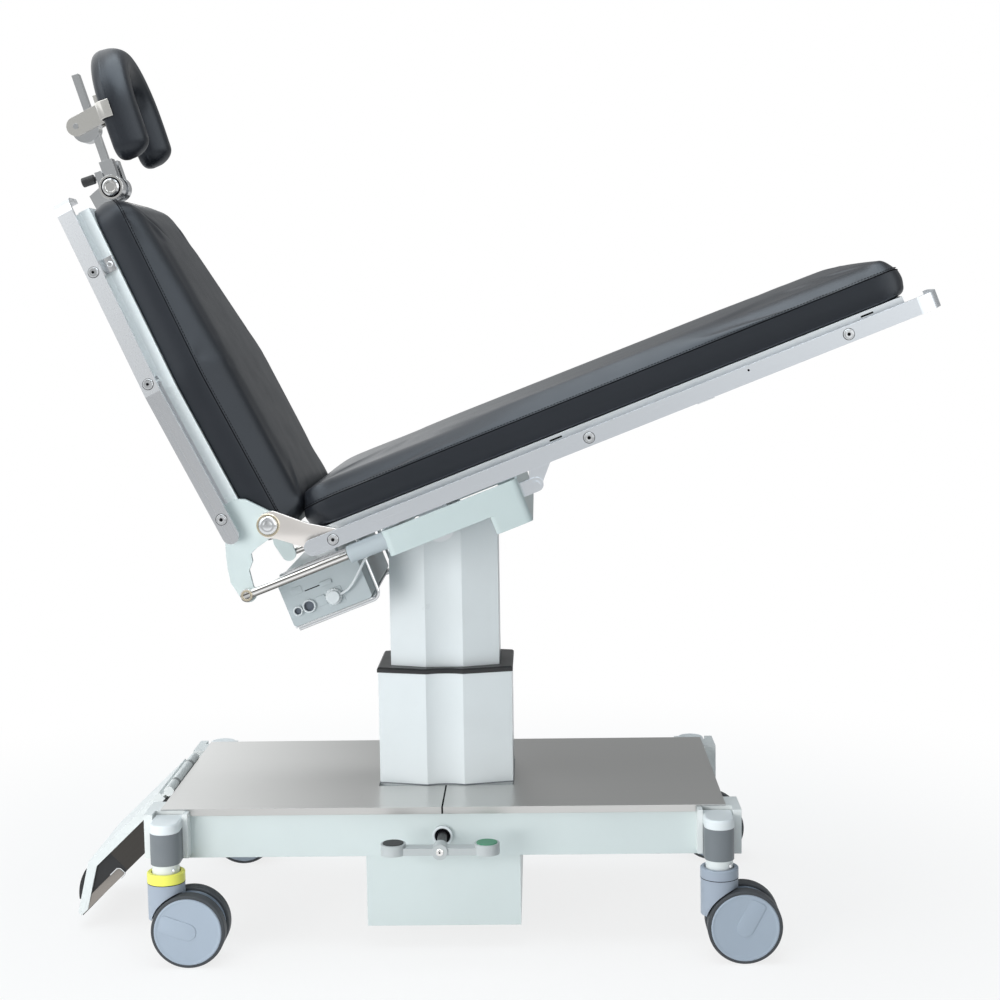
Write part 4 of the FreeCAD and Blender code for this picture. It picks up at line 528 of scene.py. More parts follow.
class Net:
    """Node tree with short ways to add and join its nodes."""

    def __init__(self, tree: Tree) -> None:
        """Work on a tree."""
        self.tree = tree

    @classmethod
    def group(cls, name: str, inputs: dict[str, object], outputs: dict[str, str]) -> "Net":
        """Start a shader group with named sockets.

        Args:
            name: Name of the group.
            inputs: Default of each input: a number, a colour, or None for a vector.
            outputs: Socket type of each output.

        Returns:
            The group's net, with its input and output nodes.
        """
        net = cls(bpy.data.node_groups.new(name, "ShaderNodeTree"))
        sockets = net.tree.interface
        for label, default in inputs.items():
            kind = "Vector" if default is None else "Float" if isinstance(default, float) else "Color"
            socket = sockets.new_socket(label, in_out="INPUT", socket_type="NodeSocket" + kind)
            if default is not None:
                socket.default_value = default
        for label, kind in outputs.items():
            sockets.new_socket(label, in_out="OUTPUT", socket_type="NodeSocket" + kind)
        net.given = net.tree.nodes.new("NodeGroupInput")
        net.out = net.tree.nodes.new("NodeGroupOutput")
        return net

    def take(self, label: str) -> Socket:
        """Socket of one of the group's inputs."""
        return self.given.outputs[label]

    def put(self, **results: Socket) -> Tree:
        """Join results to the group's outputs; returns the tree."""
        self.join(self.out, results)
        return self.tree

    def join(self, node: bpy.types.Node, inputs: dict) -> None:
        """Join sockets to a node's inputs, or set their values, by name or number."""
        for label, value in inputs.items():
            if isinstance(value, Socket):
                self.tree.links.new(value, node.inputs[label])
            else:
                node.inputs[label].default_value = value

    def node(self, kind: str, inputs: dict | None = None,
             **settings: object) -> bpy.types.bpy_prop_collection:
        """Add a node.

        Args:
            kind: The node's type without its prefix.
            inputs: Sockets or values by the input's name or number.
            settings: Properties of the node.

        Returns:
            Its outputs.
        """
        made = self.tree.nodes.new("ShaderNode" + kind)
        for label, value in settings.items():
            setattr(made, label, value)
        self.join(made, inputs or {})
        return made.outputs

    def maths(self, operation: str, *values: Value, clamp: bool = False) -> Socket:
        """Math node whose inputs are sockets or numbers; returns its output."""
        return self.node("Math", dict(enumerate(values)), operation=operation, use_clamp=clamp)[0]

    def dot(self, first: Vector, second: Vector) -> Socket:
        """Dot product of two vectors; returns its output."""
        return self.node("VectorMath", {0: first, 1: second}, operation="DOT_PRODUCT")["Value"]

    def ramp(self, value: Socket, low: float, high: float, first: float, last: float) -> Socket:
        """Smooth step from first at low to last at high; returns its output."""
        ends = {"Value": value, "From Min": low, "From Max": high, "To Min": first, "To Max": last}
        return self.node("MapRange", ends, interpolation_type="SMOOTHSTEP")["Result"]

    def noise(self, vector: Socket, scale: Value, detail: float) -> Socket:
        """Noise node; returns its value output."""
        return self.node("TexNoise", {"Vector": vector, "Scale": scale, "Detail": detail})["Fac"]

    def blend(self, factor: Socket, first: Vector, second: Vector) -> Socket:
        """Mix two colours, given as sockets or as values; returns the result."""
        pair = [(*colour, 1.0) if isinstance(colour, tuple) else colour for colour in (first, second)]
        return self.node("Mix", {"Factor": factor, 6: pair[0], 7: pair[1]}, data_type="RGBA")[2]

    def bump(self, height: Socket, strength: Value, distance: float, normal: Socket) -> Socket:
        """Bump node; returns the bent normal."""
        return self.node("Bump", {"Height": height, "Strength": strength, "Distance": distance,
                                  "Normal": normal})["Normal"]

    def light(self, kind: str, colour: Triple, strength: Value) -> Socket:
        """Background or Emission node of one colour; returns its output."""
        return self.node(kind, {"Color": (*colour, 1.0), "Strength": strength})[0]

    def mixed(self, share: Socket, first: Socket, second: Socket) -> Socket:
        """Mix of two shaders; returns its output."""
        return self.node("MixShader", {"Fac": share, 1: first, 2: second})[0]


class FinishShop:
    """Builds the shared shader groups once and one material for each finish."""

    skin_outputs = {"Tone": "Float", "Shine": "Float", "Normal": "Vector"}
    dust = (0.42, 0.42, 0.40)
    rubbed = (0.55, 0.55, 0.54)
    # Dark brown of the rod's painted reflection bands.
    reflection_band_colour = (0.10, 0.088, 0.075)
    vinyl_tint = (0.86, 0.93, 1.0, 1.0)
    vinyl_cells = 1.6
    brushed_stretch = (1.4, 420.0, 420.0)

    def __init__(self) -> None:
        """Make the groups that the materials share."""
        self.made: dict[str, bpy.types.Material] = {}
        self.edges = self.soft_edges()
        self.skin = self.fine_skin()
        self.lines = self.brushed_lines()
        self.film = self.dust_film()

    def soft_edges(self) -> Tree:
        """Rounded edges: the normal averaged within a radius, and a mask where it leaves the face's own."""
        net = Net.group("soft_edges", {"Radius": 0.001}, {"Normal": "Vector", "Edge": "Float"})
        normal = net.node("Bevel", {"Radius": net.take("Radius")}, samples=4)["Normal"]
        same = net.dot(normal, net.node("NewGeometry")["Normal"])
        edge = net.maths("MULTIPLY", net.maths("SUBTRACT", 1.0, same), 4.0, clamp=True)
        return net.put(Normal=normal, Edge=edge)

    def fine_skin(self) -> Tree:
        """Fine skin of paint, plastic or leather: small cells and noise as a bump, and slow tone changes."""
        net = Net.group("fine_skin", {"Vector": None, "Grain": 300.0, "Bump": 0.05, "Cells": 0.0,
                                      "Normal": None}, self.skin_outputs)
        vector, grain = net.take("Vector"), net.take("Grain")
        cells = net.node("TexVoronoi", {"Vector": vector, "Scale": grain}, feature="DISTANCE_TO_EDGE")
        creases = net.maths("MULTIPLY", cells["Distance"], net.take("Cells"))
        height = net.maths("ADD", net.noise(vector, grain, 2.0), creases)
        bent = net.bump(height, net.take("Bump"), 0.0006, net.take("Normal"))
        return net.put(Tone=net.noise(vector, 6.0, 4.0), Shine=net.noise(vector, 22.0, 5.0), Normal=bent)

    def brushed_lines(self) -> Tree:
        """Brushed metal: noise drawn out along X, at two widths, as tone, roughness and a fine bump."""
        net = Net.group("brushed_lines", {"Vector": None, "Normal": None}, self.skin_outputs)
        vector = net.take("Vector")
        drawn = net.node("Mapping", {"Vector": vector, "Scale": self.brushed_stretch})["Vector"]
        fine = net.maths("MULTIPLY", net.noise(drawn, 5.0, 3.0), 0.6)
        wide = net.maths("MULTIPLY", net.noise(drawn, 1.2, 2.0), 0.4)
        lines = net.maths("ADD", fine, wide)
        cloud = net.noise(vector, 5.0, 3.0)
        tone = net.maths("MULTIPLY_ADD", cloud, 0.4, net.maths("MULTIPLY", lines, 0.6))
        return net.put(Tone=tone, Shine=lines, Normal=net.bump(lines, 0.02, 0.0003, net.take("Normal")))

    def dust_film(self) -> Tree:
        """Light use: a grey film in soft patches and worn or darkened edges over a colour."""
        net = Net.group("dust_film", {"Colour": (0.8, 0.8, 0.8, 1.0), "Vector": None, "Edge": 0.0,
                                      "Wear": 0.3}, {"Colour": "Color"})
        vector, wear = net.take("Vector"), net.take("Wear")
        patches = net.maths("SUBTRACT", net.noise(vector, 9.0, 6.0), 0.52, clamp=True)
        dusty = net.blend(net.maths("MULTIPLY", patches, wear), net.take("Colour"), self.dust)
        rub = net.maths("MULTIPLY", net.take("Edge"), net.noise(vector, 160.0, 3.0))
        return net.put(Colour=net.blend(net.maths("MULTIPLY", rub, wear), dusty, self.rubbed))

    def material(self, finish: Finish) -> bpy.types.Material:
        """Material of a finish, made on first use.

        Args:
            finish: The finish wanted.

        Returns:
            Its material.
        """
        if finish.name in self.made:
            return self.made[finish.name]
        made = bpy.data.materials.new(finish.name)
        made.use_nodes = True
        net = Net(made.node_tree)
        brushed, vinyl = finish.kind is Kind.BRUSHED, finish.kind is Kind.VINYL
        metal = brushed or finish.kind is Kind.POLISHED
        place = net.node("TexCoord")["Object"]
        if finish.turn_deg:
            turn = (0.0, -math.radians(finish.turn_deg), 0.0)
            place = net.node("Mapping", {"Vector": place, "Rotation": turn})["Vector"]
        edges = net.node("Group", {"Radius": finish.edge * MM}, node_tree=self.edges)
        inputs = {"Vector": place, "Normal": edges["Normal"]}
        if not brushed:
            cells = self.vinyl_cells if vinyl else 0.0
            inputs |= {"Grain": finish.grain, "Bump": finish.bump, "Cells": cells}
        skin = net.node("Group", inputs, node_tree=self.lines if brushed else self.skin)
        colour = net.blend(skin["Tone"], finish.colour, finish.tone)
        if finish.kind in (Kind.PAINT, Kind.PLASTIC):
            worn = {"Colour": colour, "Vector": place, "Wear": finish.wear, "Edge": edges["Edge"]}
            colour = net.node("Group", worn, node_tree=self.film)["Colour"]
        # Painted reflection: dark bands by height along the rod.
        if finish.streaks:
            colour = self.with_reflection_bands(net, place, colour, *finish.streaks)
        spread = 0.08 if metal else 0.12
        shine = net.maths("MULTIPLY_ADD", skin["Shine"], spread, finish.roughness - spread / 2)
        values = {"Base Color": colour, "Roughness": shine, "Normal": skin["Normal"],
                  "Metallic": float(metal), "Specular IOR Level": finish.specular}
        if brushed:
            values["Anisotropic"] = 0.35
        if vinyl:
            values["Specular Tint"] = self.vinyl_tint
        net.join(made.node_tree.nodes["Principled BSDF"], values)
        self.made[finish.name] = made
        return made

    def with_reflection_bands(self, net: Net, place: Socket, colour: Socket, middle: float, radius: float) -> Socket:
        """Painted reflection on a rod: dark bands by height, a narrow one above its middle height, a broad
        one under it.
        """
        rise = net.maths("SUBTRACT", net.node("SeparateXYZ", {0: place})["Z"], middle * MM)
        height = net.maths("DIVIDE", rise, radius * MM)
        narrow = net.maths("MULTIPLY", net.ramp(height, 0.12, 0.24, 0.0, 0.9),
                           net.ramp(height, 0.40, 0.55, 1.0, 0.0))
        broad = net.ramp(height, -0.55, -0.2, 0.75, 0.0)
        return net.blend(net.maths("MAXIMUM", narrow, broad), colour, self.reflection_band_colour)

    def dress(self, piece: Piece, finish: Finish) -> None:
        """Give a piece one finish all over."""
        piece.data.materials.clear()
        piece.data.materials.append(self.material(finish))


CASTER_TONGUES = {"head_near": 160.0, "head_far": 20.0, "foot_near": 62.0, "foot_far": 118.0}
NODE_FINISHES = {
    COVER_STEEL: ("base_covers",),
    SAGE_PAINT: ("base_frame", "power_box"),
    PALE_PAINT: ("back_frame",),
    PAN_STEEL: ("seat_frame",),
    TILT_SHADED_PAINT: ("tilt_cover",),
    CRANK_PAINT: ("back_cranks",),
    WHITE_PAINT: ("corner_brackets", "foot_control_shell"),
    COLUMN_PAINT: ("column_shroud", "column_inner"),
    HINGE_STEEL: ("seat_hinge_plates",),
    SEAT_STEEL: ("seat_rails", "tilt_clevises"),
    BACK_STEEL: ("back_rails",),
    FOOT_DARK_REFLECTION_STEEL: ("foot_control_box",),
    BRIGHT_STEEL: ("lift_cylinder", "seat_fasteners", "back_fasteners", "hinge_pins", "head_arm",
                   "head_mount", "head_slider", "control_tray"),
    YOKE_STEEL: ("head_yoke",),
    ROD_CHROME: ("actuator_rods",),
    BRACKET_GREY: ("foot_control_bracket", "column_head"),
    LEVER_GREY: ("brake_lever", "brake_bush"),
    SLEEVE_GREY: ("caster_sleeves",),
    ACTUATOR_GREY: ("actuator_sleeves",),
    CASTER_GREY: tuple("caster_housing_" + corner for corner in CASTER_TONGUES),
    WHEEL_GREY: tuple("caster_wheels_" + corner for corner in CASTER_TONGUES),
    TREAD_GREY: tuple("caster_tyres_" + corner for corner in CASTER_TONGUES),
    RING_YELLOW: ("caster_ring_head_near",),
    CAP_WHITE: ("caster_caps",),
    BLACK_PLASTIC: ("column_collar", "head_knob"),
    SOCKET_BLUE: ("control_sockets",),
    BRAKE_GREEN: ("brake_pad_green",),
    BLACK_RUBBER: ("brake_pad_black", "foot_control_base", "foot_pedal_lift", "foot_pedal_back"),
    BOX_GREY: ("control_box",),
    LEAD_WHITE: ("control_plug", "control_lead"),
    BLACK_VINYL: ("seat_cushion", "back_cushion", "head_pad"),
}


def dress_nodes(shop: FinishShop) -> None:
    """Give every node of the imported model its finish."""
    for finish, names in NODE_FINISHES.items():
        for name in names:
            shop.dress(frame["nodes"][name], finish)


def tie(piece: Piece, shop: FinishShop, finish: Finish, body: str, replaced: str = "") -> None:
    """Dress a piece, tie it to its body and hide the node that it stands for, if any.

    Args:
        piece: The piece.
        shop: Source of the materials.
        finish: The finish it gets.
        body: The body it moves with.
        replaced: The node that it stands for, if any.
    """
    shop.dress(piece, finish)
    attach(piece, body)
    if replaced:
        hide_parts(replaced)


def fit(surface: Surface, shop: FinishShop, finish: Finish, body: str, sharp_deg: float = SHARP_DEG,
        replaced: str = "") -> None:
    """Make a small piece and tie it to its body.

    Args:
        surface: The piece's points and faces.
        shop: Source of the materials.
        finish: The finish it gets.
        body: The body it moves with.
        sharp_deg: Edges that turn by more than this stay sharp.
        replaced: The node that it stands for, if any.
    """
    piece = surface.build(sharp_deg)
    tie(piece, shop, finish, body, replaced)
    LOG.info("%s: %d points", piece.name, len(piece.data.vertices))


# Soft parts

@dataclass
class Pad:
    """A boxed vinyl cushion: plan outline, upright sides to a seam, sloping shoulder and domed top.

    Each ring of the surface is the plan outline set in along its normals as far as the shoulder's inner edge,
    and from there drawn towards the spine, the middle line that both halves share. Heights follow the plan.
    """

    name: str
    node: str
    body: str
    local: LocalFrame
    outline: Array
    spine: Array
    base: float
    heights: Callable[[Array], tuple[Array, Array]]
    dome: Callable[[Array], Array]
    shoulder: Array
    foot_round: Array
    shoulder_power: float = 1.8
    bulge: float = 2.0
    groove: float = 0.9
    swell: float = 3.0
    fill: float = 0.85
    piping: float = 0.7
    seam_half: float = 0.9
    stitch_inset: float = 1.6
    stitch_rise: float = 3.4
    stitch_pitch: float = 5.6
    stitch_share: float = 0.36
    thread: float = 0.55
    pressure: float = 4.0
    settle_frames: int = 20

    def ring(self, plan: Array, lift: float | Array, to_seam: float, to_top: float) -> Array:
        """Ring at a plan: lift plus a share of the seam's height and a share of the rise to the domed top."""
        seam, top = self.heights(plan[:, 0])
        height = lift + to_seam * seam + to_top * (top - seam + self.dome(plan))
        return np.column_stack([plan, self.base + height])

    def rings(self) -> tuple[Array, list[str]]:
        """All rings from the middle of the base to the middle of the top, and what each belongs to."""
        normals = inward(self.outline)
        low = self.foot_round
        rings, parts = [], []

        def add(part: str, plan: Array, lift: float | Array, to_seam: float, to_top: float) -> None:
            """Keep one ring and its part."""
            rings.append(self.ring(plan, lift, to_seam, to_top))
            parts.append(part)

        def inset(depth: float | Array) -> Array:
            """Plan outline set in by a depth."""
            return self.outline + normals * np.broadcast_to(depth, len(normals))[:, None]

        for share in np.linspace(0, 1, 9)[:-1]:
            add("base", self.spine + (inset(low) - self.spine) * share, 0.0, 0.0, 0.0)
        for angle in np.linspace(0, math.pi / 2, 5):
            add("base", inset(low * (1 - math.sin(angle))), low * (1 - math.cos(angle)), 0.0, 0.0)
        for share in np.linspace(0, 1, 10)[1:-1]:
            plan = inset(-self.bulge * math.sin(math.pi * share))
            add("side", plan, low - (1.0 + low) * share, share, 0.0)
        for depth, rise in ((0.0, -self.seam_half), (self.groove, -0.2), (self.groove, 0.2),
                            (0.05, self.seam_half)):
            add("seam", inset(depth), rise, 1.0, 0.0)
        for angle in np.linspace(0, math.pi / 2, 16)[2:]:
            share = 1 - math.cos(angle)
            rise = 1 - (1 - share) ** self.shoulder_power
            if self.shoulder_power == 0.0:
                rise = math.sin(angle)
            add("top", inset(self.shoulder * share), self.seam_half * (1 - rise), 1.0, rise)
        edge = inset(self.shoulder)
        for share in np.linspace(0, 1, 20)[1:]:
            add("top", edge + (self.spine - edge) * share, 0.0, 1.0, 1.0)
        return np.stack(rings), parts

    def build(self, shop: FinishShop) -> Piece:
        """Make, swell and dress the cushion and its stitches.

        Args:
            shop: Source of the materials.

        Returns:
            The cushion.
        """
        rings, parts = self.rings()
        surface = Surface(self.name, self.local)
        surface.grid(rings, wrap_v=True)
        fixed = np.array([part in ("base", "seam") for part in parts], float)
        pad = surface.build(ROUND_SHARP_DEG, np.repeat(fixed, len(self.outline)))
        self.inflate(pad)
        finer = pad.modifiers.new("finer", "SUBSURF")
        finer.levels = finer.render_levels = 1
        tie(pad, shop, BLACK_VINYL, self.body, self.node)
        if self.stitch_pitch:
            self.pipe(shop)
            self.stitch(shop)
        LOG.info("%s: %d points", self.name, len(pad.data.vertices))
        return pad

    def inflate(self, pad: Piece) -> None:
        """Swell the cover by air pressure with the base and the seams held, then cap the movement.

        Args:
            pad: The cushion, whose mesh is changed.
        """
        mesh = pad.data
        count = len(mesh.vertices)
        start = np.empty(count * 3)
        mesh.vertices.foreach_get("co", start)
        start = start.reshape(-1, 3)
        held = np.empty(count)
        mesh.attributes["held"].data.foreach_get("value", held)
        group = pad.vertex_groups.new(name="held")
        group.add(np.flatnonzero(held > 0.5).tolist(), 1.0, "REPLACE")
        cloth = pad.modifiers.new("air", "CLOTH")
        settings = cloth.settings
        settings.quality = 5
        settings.mass = 0.4
        settings.tension_stiffness = settings.compression_stiffness = 40.0
        settings.bending_stiffness = 8.0
        settings.use_pressure = True
        settings.uniform_pressure_force = self.pressure
        settings.effector_weights.gravity = 0.0
        settings.vertex_group_mass = "held"
        cloth.collision_settings.use_collision = False
        scene = bpy.context.scene
        for number in range(1, self.settle_frames + 1):
            scene.frame_set(number)
        graph = bpy.context.evaluated_depsgraph_get()
        moved = np.empty(count * 3)
        pad.evaluated_get(graph).data.vertices.foreach_get("co", moved)
        pad.modifiers.remove(cloth)
        pad.vertex_groups.clear()
        scene.frame_set(1)
        step = moved.reshape(-1, 3) - start
        reach = np.linalg.norm(step, axis=1)
        most = self.swell * MM
        step *= (most * np.tanh(reach / most) / np.maximum(reach, 1e-12))[:, None]
        mesh.vertices.foreach_set("co", (start + step).ravel())
        mesh.update()
        LOG.info("%s swelled by up to %.1f mm", self.name, np.linalg.norm(step, axis=1).max() / MM)

    def pipe(self, shop: FinishShop) -> None:
        """Thin dark cord pressed into the seam: a round profile carried along the seam's outline."""
        seam = self.ring(self.outline + inward(self.outline) * self.groove / 2, 0.0, 1.0, 0.0)
        surface = Surface(self.name + "_seam", self.local)
        surface.sweep(circle(self.piping, 8), seam, UP, closed=True)
        fit(surface, shop, SEAM_AND_SHADE_BLACK, self.body, THREAD_SHARP_DEG)

    def stitch(self, shop: FinishShop) -> None:
        """Row of thread stitches just above the seam: short round-ended dashes along the outline."""
        normals = inward(self.outline)
        ring = self.ring(self.outline + normals * self.stitch_inset, self.stitch_rise, 1.0, 0.0)
        closed = np.concatenate([ring, ring[:1]])
        length = np.linalg.norm(np.diff(closed, axis=0), axis=1).sum()
        count = int(length / self.stitch_pitch)
        middles = resample(ring, count)
        along = unit(chords(middles))
        out = unit(np.cross(along, np.array(UP)))
        over = np.cross(out, along)
        reach = self.stitch_pitch * self.stitch_share
        stations = np.array([(-1.0, 0.15), (-0.8, 0.75), (0.0, 1.0), (0.8, 0.75), (1.0, 0.15)])
        angle = np.linspace(0, 2 * math.pi, 6, endpoint=False)
        across = self.thread * stations[:, 1, None] * np.cos(angle)
        up = self.thread * stations[:, 1, None] * np.sin(angle)
        lengthwise = (stations[:, 0] * reach)[None, :, None, None]
        points = middles[:, None, None] + along[:, None, None] * lengthwise
        points = points + out[:, None, None] * across[None, :, :, None]
        points = points + over[:, None, None] * up[None, :, :, None]
        faces = quads(len(stations), len(angle), wrap_v=True)
        surface = Surface(self.name + "_stitches", self.local)
        surface.copies(points.reshape(count, -1, 3), faces)
        fit(surface, shop, SEAM_AND_SHADE_BLACK, self.body, THREAD_SHARP_DEG)


@dataclass(frozen=True)
class CushionSizes:
    """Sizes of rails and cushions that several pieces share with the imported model, in millimetres."""

    rail_outer: float = 276.0
    rail_taper: float = 280.0
    rail_end: float = 641.0
    rail_narrow: float = 195.0
    side_gap: float = 38.0
    corner: float = 48.0
    shoulder: float = 42.0
    crown: float = 6.0
    points: int = 260

    def plan(self, corners: list[Triple], keep: Pair) -> tuple:
        """Plan outline of a cushion and the spine it closes on.

        Args:
            corners: Corners with radii.
            keep: Ends of the spine along the cushion.

        Returns:
            Outline and spine, point for point.
        """
        outline = resample(rounded_outline(corners), self.points)
        middle = np.clip(outline[:, 0], *keep)
        return outline, np.column_stack([middle, np.zeros(len(outline))])


SIZES = CushionSizes()


def fullness(x: Array, end: float, reach: float, share: float) -> Array:
    """Share of the full height near an end: an ellipse from share at the end up to one after reach."""
    near = np.clip((x - end) / reach, 0, 1)
    return share + (1 - share) * np.sqrt(1 - (1 - near) ** 2)


def near_end(x: Array, end: float, reach: float) -> Array:
    """Smooth share from one at an end down to zero after reach."""
    left = 1 - np.clip((x - end) / reach, 0, 1)
    return left * left * (3 - 2 * left)


def dome_over(middle: float, half_length: float, half_width: float, crown: float) -> Callable:
    """Smooth crown: a parabola across the cushion times a flat-topped sixth power along it."""

    def dome(plan: Array) -> Array:
        """Extra height at each place of a plan."""
        along = np.clip(np.abs(plan[:, 0] - middle) / half_length, 0, 1)
        across = np.clip(np.abs(plan[:, 1]) / half_width, 0, 1)
        return crown * (1 - across ** 2) * (1 - along ** 6)

    return dome


def seat_pad() -> Pad:
    """Long seat cushion: a steep end with a tucked foot at the hinge, and a firm foot end."""
    start, end, base = 54.0, 1130.0, -38.0
    half, corner = SIZES.rail_outer - SIZES.side_gap, SIZES.corner
    outline, spine = SIZES.plan([(start, -half, corner), (end, -half, corner), (end, half, corner),
                                 (start, half, corner)], (start + half, end - half))

    def heights(x: Array) -> tuple[Array, Array]:
        """Seam 43 to 46 mm and top 72 to 68 mm above the pan, a little less at both ends."""
        full = np.minimum(fullness(x, start, 80.0, 0.80), fullness(-x, -end, 24.0, 0.84))
        along = (x - start) / (end - start)
        return (43.0 + 3.0 * along) * full, (72.0 - 4.0 * along) * full

    at_hinge = near_end(outline[:, 0], start, 60.0)
    at_foot = near_end(-outline[:, 0], -end, 50.0)
    shoulder = SIZES.shoulder * (1 - 0.68 * at_hinge - 0.45 * at_foot)
    foot_round = 6.0 + 8.0 * at_hinge + 8.0 * at_foot
    dome = dome_over((start + end) / 2, (end - start) / 2, half, SIZES.crown)
    return Pad("seat_pad", "seat_cushion", "seat", SEAT, outline, spine, base, heights, dome, shoulder,
               foot_round)


def back_pad() -> Pad:
    """Back cushion, which narrows and thins towards the head and meets the seat cushion's end."""
    start, end, base, taper, bend = -611.0, 27.0, -27.0, -SIZES.rail_taper, 160.0
    half, corner = SIZES.rail_outer - SIZES.side_gap, SIZES.corner
    narrow = half - (start - taper) / (-SIZES.rail_end - taper) * (SIZES.rail_outer - SIZES.rail_narrow)
    outline, spine = SIZES.plan([(start, -narrow, corner), (taper, -half, bend), (end, -half, corner),
                                 (end, half, corner), (taper, half, bend), (start, narrow, corner)],
                                (start + narrow, end - half))

    def heights(x: Array) -> tuple[Array, Array]:
        """Seam 46 mm and top 88 to 66 mm above the pan, less at the round upper end."""
        full = np.minimum(fullness(x, start, 34.0, 0.7), fullness(-x, -end, 20.0, 0.96))
        return 46.0 * full, (88.0 - 22.0 * np.clip((taper - x) / (taper - start), 0, 1)) * full

    shoulder = SIZES.shoulder * (1 - 0.45 * near_end(-outline[:, 0], -end, 60.0))
    dome = dome_over((start + end) / 2, (end - start) / 2, half, SIZES.crown)
    return Pad("back_pad", "back_cushion", "back", BACK, outline, spine, base, heights, dome, shoulder,
               np.full(len(outline), 6.0))


def head_pad() -> Pad:
    """Horseshoe head cushion: two legs with round tips under a round arch, round in section."""
    top, tip, leg, half, crown = 232.0, 25.0, 95.0, 31.0, 2.0
    outer, inner = leg + half, leg - half
    arch = outer - top
    foot = -tip - half
    rings = [arc((arch, 0.0), outer, 90, 270, 60), arc((foot, -leg), half, -90, 90, 18),
             arc((arch, 0.0), inner, 270, 90, 40), arc((foot, leg), half, -90, 90, 18)]
    outline = resample(np.concatenate(rings), 300)
    x, y = outline[:, 0], outline[:, 1]
    angle = np.arctan2(y, x - arch)
    on_arch = np.column_stack([arch + leg * np.cos(angle), leg * np.sin(angle)])
    on_leg = np.column_stack([np.minimum(x, foot), leg * np.sign(y)])
    spine = np.where((x < arch)[:, None], on_arch, on_leg)

    def heights(places: Array) -> tuple[Array, Array]:
        """Joint low on the back edge, the same all round."""
        return np.full(len(places), 22.0), np.full(len(places), 58.0)

    def dome(plan: Array) -> Array:
        """Parabola across each leg and the arch."""
        return crown * (1 - np.clip(np.linalg.norm(plan - spine, axis=1) / half, 0, 1) ** 2)

    return Pad("head_horseshoe", "head_pad", "head_yoke", HEAD, outline, spine, 42.0, heights, dome,
               np.full(len(outline), 25.0), np.full(len(outline), 15.0), shoulder_power=0.0, bulge=0.4,
               groove=0.0, swell=2.0, stitch_pitch=0.0)


# Small fittings

@dataclass(frozen=True)
class CasterDress:
    """Moulded faces of the twin wheels, the line under the swivel ring and the socket's grub screw."""

    corner: str
    tongue_deg: float
    stem_x: float = 466.0
    stem_y: float = 285.0
    trail: float = 40.0
    axle_z: float = 62.5
    wheel_side: float = 35.0
    rim: float = 56.5
    ring_foot: float = 141.0
    ring_radius: float = 31.6
    screw: Triple = (15.0, -17.4, 163.0)
    screw_axis: Triple = (0.65, -0.76, 0.0)
    tongue_half: float = 14.5
    tongue_corner: float = 6.0

    def build(self, shop: FinishShop) -> None:
        """Make the wheel faces, ring line and screw of one corner."""
        x = self.stem_x if "foot" in self.corner else -self.stem_x
        y = self.stem_y if "far" in self.corner else -self.stem_y
        faces = Surface("wheel_faces_" + self.corner)
        for side in SIDES:
            self.face(faces, x + self.trail, y + side * self.wheel_side, side)
        fit(faces, shop, WHEEL_GREY, "wheels_" + self.corner)
        line = Surface("swivel_line_" + self.corner)
        line.ring(self.ring_radius - 1.0, self.ring_radius + 0.5, 1.0, (x, y, self.ring_foot - 1.1), UP)
        fit(line, shop, SEAM_AND_SHADE_BLACK, "swivel_" + self.corner)
        screw = Surface("socket_screw_" + self.corner)
        place = (x + self.screw[0], y + self.screw[1], self.screw[2])
        screw.disc([(3.4, 0.0), (3.4, 2.0), (2.4, 3.0)], place, self.screw_axis, 6)
        fit(screw, shop, BRIGHT_STEEL, "base")

    def face(self, surface: Surface, x: float, y: float, side: int) -> None:
        """One disc: a turned profile with a raised rim, and a round-ended tongue from the hub to the rim."""
        profile = [(self.rim, 0.0), (self.rim, 0.7), (self.rim - 1.0, 1.5), (self.rim - 2.6, 1.6),
                   (self.rim - 4.0, 0.9), (self.rim - 6.0, 0.6), (3.0, 0.6)]
        surface.disc(profile, (x, y, self.axle_z), (0, side, 0), 64)
        turn = math.radians(self.tongue_deg)
        half, corner = self.tongue_half, self.tongue_corner
        end = self.rim - 7.0 - corner
        tongue = np.concatenate([arc((0.0, 0.0), half, 270, 90, 16),
                                 arc((end, half - corner), corner, 90, 0, 4),
                                 arc((end, corner - half), corner, 0, -90, 4)])
        cos, sin = math.cos(turn), math.sin(turn)
        turned = tongue @ np.array([[cos, sin], [-sin, cos]]) + (x, self.axle_z)
        low, high = sorted((y + side * 0.4, y + side * 1.7))
        surface.plate(turned, low, high, 0.5)


